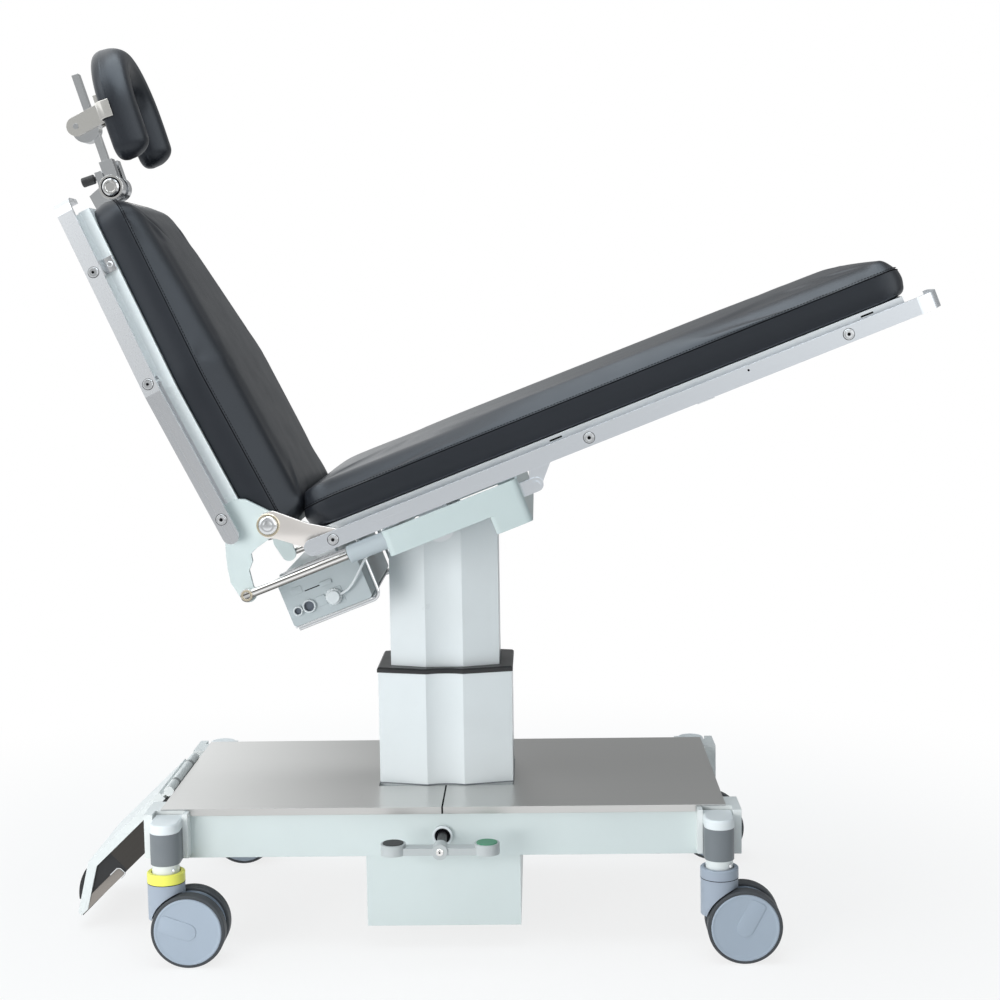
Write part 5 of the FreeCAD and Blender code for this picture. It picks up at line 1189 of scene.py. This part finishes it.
@dataclass(frozen=True)
class RailDress:
    """Washers and sockets of the rail screws, the clip and flange beside the back rails, slots in the pan."""

    seat_screws: tuple[float, ...] = (94.0, 550.0, 1004.0)
    back_screws: tuple[float, ...] = (45.0, 298.0, 506.0)
    rail_w: float = -61.0
    flange: tuple[float, ...] = (610.0, 296.0, -66.0, -44.0)
    lower_flange: tuple[float, ...] = (294.0, 40.0, -64.0, -44.0)
    flange_proud: float = 0.2
    clip_at: float = 509.0
    clip_half: float = 13.0
    clip_w: Pair = (-58.0, -28.0)
    clip_proud: float = 3.4
    pan_gap: float = 33.0
    head_height: float = 3.0
    pan_side: float = 243.0
    slot_places: Pair = (498.0, 1048.0)
    slot_half: float = 11.0
    blind_hole: Pair = (832.0, -55.0)

    def side_at(self, distance: float) -> float:
        """Outer face of a back rail at a distance from the hinge: parallel, then straight in to its end."""
        share = max(0.0, (distance - SIZES.rail_taper) / (SIZES.rail_end - SIZES.rail_taper))
        return SIZES.rail_outer + share * (SIZES.rail_narrow - SIZES.rail_outer)

    def build(self, shop: FinishShop) -> None:
        """Make the fittings of the seat and of the back."""
        slope = (SIZES.rail_outer - SIZES.rail_narrow) / (SIZES.rail_end - SIZES.rail_taper)
        seat = [(u, SIZES.rail_outer, 0.0) for u in self.seat_screws]
        back = [(-d, self.side_at(d), -slope if d > SIZES.rail_taper else 0.0) for d in self.back_screws]
        self.screws(shop, "seat", SEAT, seat)
        self.screws(shop, "back", BACK, back)
        self.clips(shop)
        self.slots(shop)

    def screws(self, shop: FinishShop, body: str, local: LocalFrame, places: list[Triple]) -> None:
        """Bright washer, dark line round it and black hexagon of painted socket shade at each place, on both
        sides.
        """
        bright = Surface(body + "_screw_washers", local)
        dark = Surface(body + "_screw_lines_and_socket_shade", local)
        for x, y, lean in places:
            top = y + self.head_height - 0.1 + (0.7 if lean else 0.0)
            for side in SIDES:
                foot, leaning = (x, side * y, self.rail_w), (lean, side, 0.0)
                head, out = (x, side * top, self.rail_w), (0.0, side, 0.0)
                bright.ring(6.6, 8.8, 1.5, foot, leaning)
                dark.ring(8.7, 9.8, 0.4, foot, leaning)
                bright.ring(4.3, 6.2, 0.5, head, out)
                # Painted shade: the socket's recess drawn as a flat black hexagon.
                dark.disc([(3.1, 0.0), (3.1, 0.25)], head, out, 6)
        fit(bright, shop, BRIGHT_STEEL, body)
        fit(dark, shop, SEAM_AND_SHADE_BLACK, body)

    def clips(self, shop: FinishShop) -> None:
        """Flanges along the pan's edge, pale where it tapers and steel below, and a bright clip."""
        flange = Surface("back_flanges", BACK)
        lower = Surface("back_lower_flanges", BACK)
        clip = Surface("back_clips", BACK)
        clip_span = (self.clip_at + self.clip_half, self.clip_at - self.clip_half, *self.clip_w)
        for side in SIDES:
            for piece, (first, last, low, high), proud in ((flange, self.flange, self.flange_proud),
                                                           (lower, self.lower_flange, self.flange_proud),
                                                           (clip, clip_span, self.clip_proud)):
                at = np.array([first, last])
                out = np.array([self.side_at(first), self.side_at(last)]) - self.pan_gap + proud - 1.0
                path = np.column_stack([-at, side * out, np.full(2, (low + high) / 2)])
                path = path[0] + (path[1] - path[0]) * np.linspace(0, 1, 5)[:, None]
                half = (high - low) / 2
                piece.sweep(block((-1.2, -half), (1.2, half), 0.8), path, UP)
            middle = self.side_at(self.clip_at) - self.pan_gap + self.clip_proud
            screw = (-self.clip_at, side * middle, -36.0)
            clip.disc([(5.0, 0.0), (5.0, 1.6), (3.6, 2.6)], screw, (0.0, side, 0.0), 20)
        fit(flange, shop, PALE_PAINT, "back")
        fit(lower, shop, BACK_STEEL, "back")
        fit(clip, shop, BRIGHT_STEEL, "back")

    def slots(self, shop: FinishShop) -> None:
        """Short slots in the pan's folded edge, a blind hole in each seat rail, as black plates of painted
        shade.
        """
        slots = Surface("pan_slot_shade", SEAT)
        for side in SIDES:
            low, high = sorted((side * self.pan_side, side * (self.pan_side + 0.3)))
            for u in self.slot_places:
                outline = block((u - self.slot_half, -46.0), (u + self.slot_half, -43.0), 1.2)
                slots.plate(outline, low, high, 0.1)
            hole = (self.blind_hole[0], side * SIZES.rail_outer, self.blind_hole[1])
            slots.disc([(1.9, 0.0), (1.9, 0.2)], hole, (0.0, side, 0.0), 14)
        fit(slots, shop, SEAM_AND_SHADE_BLACK, "seat")


@dataclass(frozen=True)
class BaseDress:
    """Painted shade in the cover's middle joint and round the shroud's foot, and the brake's bush and hub
    screw.
    """

    cover_top: float = 251.0
    cover_front: float = 240.0
    cover_lip: float = 12.0
    joint_half: float = 1.5
    shroud: Pair = (119.0, 100.0)
    setback: float = 22.0
    flute: Pair = (33.0, 7.0)
    brake_z: float = 201.0
    bush_front: float = -242.0
    hub: Pair = (-335.0, -307.0)
    shaft: float = 8.0

    def build(self, shop: FinishShop) -> None:
        """Make the joint's painted shade, the shroud's shadow bead and the brake's small pieces."""
        # Painted shade: a black strip in the gap where the cover's halves meet.
        joint = Surface("cover_joint_shade")
        top, front, half = self.cover_top, self.cover_front, self.joint_half
        for y0, y1 in ((-front, -self.shroud[1]), (self.shroud[1], front)):
            joint.plate(block((-half, y0), (half, y1), 0.3), top - 0.4, top + 0.15, 0.1, "z")
        joint.plate(block((-half, top - self.cover_lip), (half, top), 0.3), -front - 0.25, -front + 0.3, 0.1)
        fit(joint, shop, SEAM_AND_SHADE_BLACK, "base")
        # Painted shadow: a dark grey bead at the shroud's foot, for the shadow line where it meets the cover.
        seal = Surface("shroud_shadow_bead")
        ring = self.shroud_plan(0.4)
        path = np.column_stack([ring, np.full(len(ring), top + 0.7)])
        seal.sweep(circle(1.1, 8), path, UP, closed=True)
        fit(seal, shop, SLEEVE_GREY, "base")
        self.brake(shop)

    def shroud_plan(self, grow: float) -> Array:
        """Plan of the shroud: straight ends, sloping faces, a hollow arc in the middle of each face."""
        length, depth = self.shroud[0] + grow, self.shroud[1] + grow
        half, hollow = self.flute
        radius = (half ** 2 + hollow ** 2) / (2 * hollow)
        swing = math.degrees(math.asin(half / radius))
        front = np.concatenate([[(-length, self.setback - depth)],
                                arc((0.0, hollow - depth - radius), radius, 90 + swing, 90 - swing, 16),
                                [(length, self.setback - depth)]])
        return resample(np.concatenate([front, -front]), 400)

    def brake(self, shop: FinishShop) -> None:
        """Bush's bright lip, black shaft sleeve, bright hub screw, and painted shade in the throat and the
        socket.
        """
        bush = (0.0, self.bush_front, self.brake_z)
        sleeve = (0.0, self.bush_front - 0.6, self.brake_z)
        reach = self.bush_front - self.hub[1] - 1.0
        # The throat's black ring is painted shade inside the bush.
        for name, finish, body, sizes, centre in (
                ("brake_throat_shade", SEAM_AND_SHADE_BLACK, "base", (self.shaft + 0.3, 13.6, 0.5), bush),
                ("brake_bush_lip", CAP_WHITE, "base", (13.4, 17.4, 2.4), bush),
                ("brake_shaft_sleeve", BLACK_PLASTIC, "brake", (self.shaft - 0.2, self.shaft + 0.25, reach),
                 sleeve)):
            fit(Surface(name).ring(*sizes, centre, TO_CAMERA), shop, finish, body)
        front = (0.0, self.hub[0], self.brake_z)
        # The hub screw's black hexagon is painted shade inside its socket.
        for name, finish, profile, steps in (
                ("brake_hub_screw", CHROME, [(6.2, 0.0), (6.2, 1.2), (5.2, 2.4), (3.0, 3.2)], 24),
                ("brake_hub_socket_shade", SEAM_AND_SHADE_BLACK, [(1.7, 0.0), (1.7, 3.3)], 6)):
            fit(Surface(name).disc(profile, front, TO_CAMERA, steps), shop, finish, "brake")


@dataclass(frozen=True)
class FootControlDress:
    """Steel strip under the foot control's tip with its turned-up end, on both sides."""

    side: float = 115.0
    strip: tuple[Pair, ...] = (
        (166.0, 45.0), (236.0, 45.0), (274.0, 57.0), (274.0, 61.0), (166.0, 61.0))
    strip_corner: float = 3.0
    fold: tuple[Triple, ...] = (
        (186.0, 44.5, 0.0), (164.0, 44.5, 7.0), (164.0, 63.0, 5.0), (176.0, 63.0, 0.0))

    def build(self, shop: FinishShop) -> None:
        """Make the strips and their folded ends."""
        strips = Surface("foot_strips", FOOT_CONTROL)
        ends = Surface("foot_strip_ends", FOOT_CONTROL)
        outline = rounded_outline([(*corner, self.strip_corner) for corner in self.strip], 4)
        fold = rounded_outline(list(self.fold), 6)
        strips.side_plates(outline, self.side - 0.4, self.side + 1.4, 0.5)
        for side in SIDES:
            path = at_side(fold, side * (self.side + 1.0))
            ends.sweep(block((-0.9, -1.6), (0.9, 1.6), 0.4), path, ACROSS)
        fit(strips, shop, STRIP_DARK_REFLECTION_STEEL, "foot_control")
        fit(ends, shop, BRIGHT_STEEL, "foot_control")


@dataclass(frozen=True)
class HingeDress:
    """Hinge plates with soft rims, rings round the hinge pins, rod eyes and sleeve mouths."""

    plate_y: Pair = (251.4, 259.3)
    eye: Pair = (-77.4, -95.6)
    eye_face: float = 266.9
    rod_y: float = 259.1
    mouth: float = 106.0
    ring: Triple = (16.2, 19.6, 2.6)
    eye_ring: Triple = (6.0, 9.4, 1.1)
    seal: Triple = (7.7, 10.6, 1.2)
    plate: tuple[Triple, ...] = (
        (106.0, -49.0, 3.0), (82.0, -34.0, 16.0), (62.0, -21.0, 20.0), (16.0, 20.0, 10.0), (-5.0, 21.0, 12.0),
        (-20.5, 4.0, 14.0), (-15.0, -17.0, 14.0), (3.0, -26.0, 10.0), (60.0, -71.0, 8.0), (106.0, -71.0, 3.0))
    dome: tuple[Pair, ...] = ((15.6, 0.0), (15.4, 2.6), (13.6, 5.4), (9.6, 7.6), (4.8, 8.6))

    def build(self, shop: FinishShop) -> None:
        """Make the plates, the rings and the mouths on both sides."""
        inner, outer = self.plate_y
        eye_x, eye_z = self.eye
        plates = Surface("hinge_side_plates", SEAT)
        plates.side_plates(rounded_outline(list(self.plate), 8), inner, outer, 1.2)
        fit(plates, shop, HINGE_STEEL, "seat", PLATE_SHARP_DEG, "seat_hinge_plates")
        for name, body, sizes, centre in (
                ("hinge_rings", "seat", self.ring, (0.0, outer, 0.0)),
                ("rod_eye_rings", "rods", self.eye_ring, (eye_x, self.eye_face, eye_z))):
            fit(Surface(name, SEAT).pair(Surface.ring, sizes, centre), shop, BRASS_RING, body)
        seals = Surface("rod_seals", SEAT)
        for side in SIDES:
            seals.ring(*self.seal, (self.mouth, side * self.rod_y, eye_z), (-1.0, 0.0, 0.0))
        fit(seals, shop, BLACK_RUBBER, "seat")
        domes = Surface("hinge_pin_domes", SEAT)
        domes.pair(Surface.disc, (self.dome,), (0.0, outer + 0.4, 0.0), 48)
        fit(domes, shop, BRIGHT_STEEL, "seat", ROUND_SHARP_DEG)


@dataclass(frozen=True)
class ControlBoxDress:
    """Face of the control box: socket rims, blanks, slot, knurled collar; tray with bent wires."""

    face: float = -175.0
    sockets: tuple[Triple, ...] = ((-24.0, -161.0, 7.0), (-3.0, -160.0, 10.0))
    plug: Pair = (43.0, -160.0)
    tray: tuple[float, float, float, float] = (-41.0, 104.0, -189.0, -186.0)
    wire: Pair = (114.5, 3.5)
    wire_y: float = 160.0
    tray_half: float = 175.0
    guide_y: Pair = (166.5, 174.0)
    guide: tuple[Triple, ...] = (
        (-32.0, -98.0, 3.9), (100.0, -98.0, 1.0), (100.0, -90.2, 1.0), (-32.0, -90.2, 3.9))
    blanks: tuple[tuple[Pair, Pair, float], ...] = (
        ((11.5, -167.5), (28.5, -150.5), 3.0), ((27.0, -137.0), (49.0, -129.0), 3.0),
        ((-24.0, -134.0), (-4.0, -121.0), 0.8), ((30.0, -175.0), (60.0, -146.0), 1.2))
    slot: tuple[Pair, Pair] = ((-1.0, -134.2), (27.0, -132.4))
    collar_profile: tuple[Pair, ...] = (
        (11.0, 1.0), (13.0, 1.0), (14.2, 2.0), (14.2, 6.0), (13.0, 7.0), (11.0, 7.0))
    knurls: int = 18
    knurl_points: int = 144
    knurl_depth: float = 0.5

    def build(self, shop: FinishShop) -> None:
        """Make the face's small pieces and the tray."""
        rims = Surface("socket_rims", SEAT)
        for u, w, radius in self.sockets:
            rims.ring(radius - 1.2, radius + 1.6, 6.2, (u, self.face, w), TO_CAMERA)
        fit(rims, shop, LEAD_WHITE, "seat")
        blanks = Surface("box_blanks", SEAT)
        for low, high, proud in self.blanks:
            blanks.plate(block(low, high, 2.0), self.face - proud, self.face + 0.4, 0.6)
        fit(blanks, shop, BOX_GREY, "seat")
        # Painted shade: the slit in the box face drawn as a flat black plate.
        slot = Surface("box_slot_shade", SEAT)
        slot.plate(block(*self.slot, 0.8), self.face - 0.25, self.face + 0.1, 0.1)
        fit(slot, shop, SEAM_AND_SHADE_BLACK, "seat")
        self.collar(shop)
        self.wires(shop)

    def collar(self, shop: FinishShop) -> None:
        """Knurled ring behind the plug: its radius rises and falls with the cosine of its knurls."""
        angle = np.linspace(0, 2 * math.pi, self.knurl_points, endpoint=False)
        widest, _ = max(self.collar_profile)
        rings = []
        for radius, rise in self.collar_profile:
            ridge = radius + (self.knurl_depth * np.cos(self.knurls * angle) if radius == widest else 0.0)
            flat = np.column_stack([ridge * np.cos(angle), ridge * np.sin(angle)]) + self.plug
            rings.append(at_side(flat, self.face - rise))
        surface = Surface("plug_collar", SEAT)
        surface.grid(np.stack(rings), wrap_u=True, wrap_v=True)
        fit(surface, shop, LEAD_WHITE, "seat")

    def wires(self, shop: FinishShop) -> None:
        """Tray sheet with a bent wire guard at each side, from the seat's tube round to the tray's front."""
        u0, u1, low, high = self.tray
        wire_u, radius = self.wire
        tray = Surface("box_tray", SEAT)
        tray.plate(block((u0, -self.tray_half), (u1, self.tray_half), 6.0), low, high, 1.0, "z")
        bend = rounded_outline([(wire_u, -79.2, 0.0), (wire_u, low - radius, 14.0),
                                (u0 + 4.0, low - radius, 0.0)], 8)
        for side in SIDES:
            tray.sweep(circle(radius, 14), at_side(bend, side * self.wire_y), ACROSS)
        fit(tray, shop, BRIGHT_STEEL, "seat", PLATE_SHARP_DEG, "control_tray")
        guides = Surface("box_guides", SEAT)
        guides.side_plates(rounded_outline(list(self.guide), 5), *self.guide_y, 0.8)
        fit(guides, shop, BRIGHT_STEEL, "seat")


@dataclass(frozen=True)
class HeadDress:
    """Ends of the headrest's cross rod, and the yoke's tabs that bend round the cushion's board."""

    rod: float = 15.0
    rod_end: float = 38.0
    clamp_end: float = 34.0
    clamp: float = 22.0
    tab_x: float = -114.0
    tab_half: float = 15.0
    tab_back: float = 39.5
    tab_side: float = 130.0
    tab_front: float = 64.0
    tab_start: float = 80.0
    tab_bend: float = 12.0
    cap: tuple[Pair, ...] = (
        (13.2, 0.0), (13.2, 1.0), (12.2, 1.8), (9.0, 1.8), (8.4, 1.2), (3.0, 1.2))

    def build(self, shop: FinishShop) -> None:
        """Make the caps, black rings of painted shade in the clamps' bores, and tabs on both sides."""
        caps = Surface("head_rod_caps", HEAD)
        caps.pair(Surface.disc, (self.cap,), (0.0, self.rod_end, 0.0), 40)
        fit(caps, shop, CHROME, "back")
        bore = self.rod + 2.4
        # The black rings are painted shade in the gap between the rod and the clamp's bore.
        for name, finish, sizes in (("head_rod_gap_shade", SEAM_AND_SHADE_BLACK, (self.rod, bore, 1.2)),
                                    ("head_clamp_rims", CHROME, (bore, self.clamp - 0.6, 0.9))):
            rings = Surface(name, HEAD).pair(Surface.ring, sizes, (0.0, self.clamp_end, 0.0))
            fit(rings, shop, finish, "head_arm")
        self.tabs(shop)

    def tabs(self, shop: FinishShop) -> None:
        """Strap ends of the yoke: a flat bar led out behind the cushion and bent forward at its side."""
        tabs = Surface("head_yoke_tabs", HEAD)
        bend = rounded_outline([(self.tab_start, self.tab_back, 0.0),
                                (self.tab_side, self.tab_back, self.tab_bend),
                                (self.tab_side, self.tab_front, 0.0)], 10)
        for side in SIDES:
            path = np.column_stack([np.full(len(bend), self.tab_x), side * bend[:, 0], bend[:, 1]])
            tabs.sweep(block((-1.5, -self.tab_half), (1.5, self.tab_half), 1.0), path, (1.0, 0.0, 0.0))
        fit(tabs, shop, YOKE_STEEL, "head_yoke")


# Control lead

class ControlLead:
    """Thin white lead from the control box's plug to behind the actuator's sleeve."""

    route = ((54.2, -182.0, -160.0), (71.0, -182.0, -160.0), (98.0, -188.0, -138.0), (122.0, -192.0, -115.0),
             (150.0, -193.0, -106.0), (171.8, -193.0, -106.0))
    diameter = 4.5

    def build(self, shop: FinishShop) -> None:
        points = SEAT.world(np.array(self.route)) * MM
        curve = bpy.data.curves.new("white_lead", "CURVE")
        curve.dimensions = "3D"
        curve.bevel_depth = self.diameter / 2 * MM
        curve.bevel_resolution = 4
        curve.resolution_u = 12
        spline = curve.splines.new("NURBS")
        spline.points.add(len(points) - 1)
        spline.points.foreach_set("co", np.column_stack([points, np.ones(len(points))]).ravel())
        spline.order_u = 3
        spline.use_endpoint_u = True
        lead = stand("white_lead", curve)
        tie(lead, shop, LEAD_WHITE, "seat", "control_lead")


# Studio

@dataclass(frozen=True)
class Studio:
    """White studio: floor, even light from all round, two soft lamps and the camera.

    A lamp is its place, the point it is aimed at, its size, power and colour.
    """

    eye: Triple = (172.56, -3211.07, 1093.5)
    yaw: float = 0.0222
    pitch: float = 0.1067
    roll: float = 0.0154
    focal: float = 1790.0
    frame_px: float = 1000.0
    sensor: float = 36.0
    window: tuple = ((-1.8, -3.0, 0.75), (0.0, 0.0, 0.6), 1.6, 65.0)
    sky: tuple = ((0.0, -0.2, 3.5), (0.1, 0.0, 0.6), 2.6, 66.0, (0.86, 0.94, 1.0))
    soft_patch: Triple = (-0.6, -0.45, 0.66)
    ambient: Triple = (0.86, 0.96, 1.0)
    mirrored: Triple = (0.97, 0.99, 1.0)
    floor_rings: tuple[float, ...] = (1.0, 1000.0, 3000.0, 30000.0)
    floor_grey: Triple = (0.86, 0.86, 0.86)
    floor_mirrored: Triple = (0.97, 0.985, 1.0)

    def build(self) -> None:
        """Set up the view, the light and the floor."""
        scene = bpy.context.scene
        scene.view_settings.view_transform = "Standard"
        self.camera()
        self.world()
        self.lamp("window", *self.window).visible_glossy = False
        self.lamp("sky", *self.sky)
        self.floor()

    def camera(self) -> None:
        """Camera at the photograph's place: forward from yaw and pitch, then rolled."""
        sin, cos = math.sin, math.cos
        forward = np.array([-sin(self.yaw) * cos(self.pitch), cos(self.yaw) * cos(self.pitch),
                            -sin(self.pitch)])
        level = np.array([cos(self.yaw), sin(self.yaw), 0.0])
        upright = np.cross(level, forward)
        right = level * cos(self.roll) - upright * sin(self.roll)
        up = np.cross(right, forward)
        data = bpy.data.cameras.new("camera")
        data.sensor_width = self.sensor
        data.lens = self.focal / self.frame_px * self.sensor
        data.clip_end = 100.0
        bpy.context.scene.camera = stand("camera", data, right, up, -forward, np.array(self.eye) * MM)

    def world(self) -> None:
        """Even light; the camera sees plain white, and metal mirrors a pale room with a brighter left."""
        world = bpy.data.worlds.new("studio")
        world.use_nodes = True
        net = Net(world.node_tree)
        net.tree.nodes.clear()
        path = net.node("LightPath")
        direction = net.node("TexCoord")["Object"]
        way = net.node("SeparateXYZ", {0: direction})
        left_light = net.maths("MULTIPLY_ADD", way["X"], -0.46, 0.47)
        front = net.maths("MAXIMUM", net.maths("MULTIPLY_ADD", way["X"], 1.5, 0.78), 0.44)
        front = net.maths("MULTIPLY", front, net.ramp(way["Z"], 0.1, 0.45, 1.0, 0.9))
        front = net.maths("ADD", front, net.ramp(way["X"], -0.55, -0.3, 0.8, 0.0))
        patch = net.ramp(net.dot(direction, self.soft_patch), 0.91, 0.99, 0.0, 2.0)
        front = net.maths("ADD", front, patch)
        back = net.ramp(way["X"], -0.23, -0.05, 1.35, 0.36)
        behind = net.ramp(way["Y"], -0.1, 0.1, 0.0, 1.0)
        level = net.maths("MULTIPLY", behind, net.maths("SUBTRACT", back, front))
        lit = net.light("Background", self.ambient, left_light)
        mirrored = net.light("Background", self.mirrored, net.maths("ADD", front, level))
        glossy = net.maths("MAXIMUM", path["Is Glossy Ray"], path["Is Transmission Ray"])
        around = net.mixed(glossy, lit, mirrored)
        white = net.light("Background", WHITE, 1.0)
        net.node("OutputWorld", {"Surface": net.mixed(path["Is Camera Ray"], around, white)})
        bpy.context.scene.world = world

    @staticmethod
    def lamp(name: str, place: tuple, aim: tuple, size: float, power: float,
             colour: Triple = WHITE) -> Piece:
        """Square soft lamp that points at a place."""
        data = bpy.data.lights.new(name, "AREA")
        data.size = size
        data.energy = power
        data.color = colour
        away = unit(np.array(place) - np.array(aim))
        right = unit(np.cross(UP, away))
        return stand(name, data, right, np.cross(away, right), away, np.array(place))

    def floor(self) -> None:
        """Round floor: rings of points on circles, shaded softly near the table and plain white far out."""
        angle = np.linspace(0, 2 * math.pi, 96, endpoint=False)
        radius = np.array(self.floor_rings)
        points = np.stack([radius[:, None] * np.cos(angle), radius[:, None] * np.sin(angle),
                           np.zeros((len(radius), len(angle)))], axis=-1)
        surface = Surface("floor")
        start = surface.grid(points, wrap_v=True)
        surface.cap(start, len(angle))
        made = surface.build()
        if made.data.polygons[0].normal.z < 0:
            made.data.flip_normals()
        material = bpy.data.materials.new("floor")
        material.use_nodes = True
        net = Net(material.node_tree)
        net.tree.nodes.clear()
        path = net.node("LightPath")
        far = net.node("VectorMath", {0: net.node("TexCoord")["Object"]}, operation="LENGTH")["Value"]
        matt = net.node("BsdfDiffuse", {"Color": (*self.floor_grey, 1.0)})[0]
        dull = net.light("Emission", self.floor_mirrored, net.ramp(far, 1.8, 4.0, 1.05, 0.6))
        lit = net.mixed(path["Is Glossy Ray"], matt, dull)
        share = net.maths("MULTIPLY", path["Is Camera Ray"], net.ramp(far, 0.7, 1.9, 0.8, 1.0))
        seen = net.mixed(share, lit, net.light("Emission", WHITE, 1.0))
        net.node("OutputMaterial", {"Surface": seen})
        made.data.materials.append(material)


def main() -> None:
    """Build the scene in order and note the sizes."""
    logging.basicConfig(level=logging.INFO, format="%(message)s")
    shop = FinishShop()
    Studio().build()
    ControlLead().build(shop)
    dress_nodes(shop)
    for corner, turn in CASTER_TONGUES.items():
        CasterDress(corner, turn).build(shop)
    for dress in (RailDress(), BaseDress(), FootControlDress(), HingeDress(), ControlBoxDress(), HeadDress()):
        dress.build(shop)
    for pad in (seat_pad(), back_pad(), head_pad()):
        pad.build(shop)


if __name__ == "__main__":
    main()
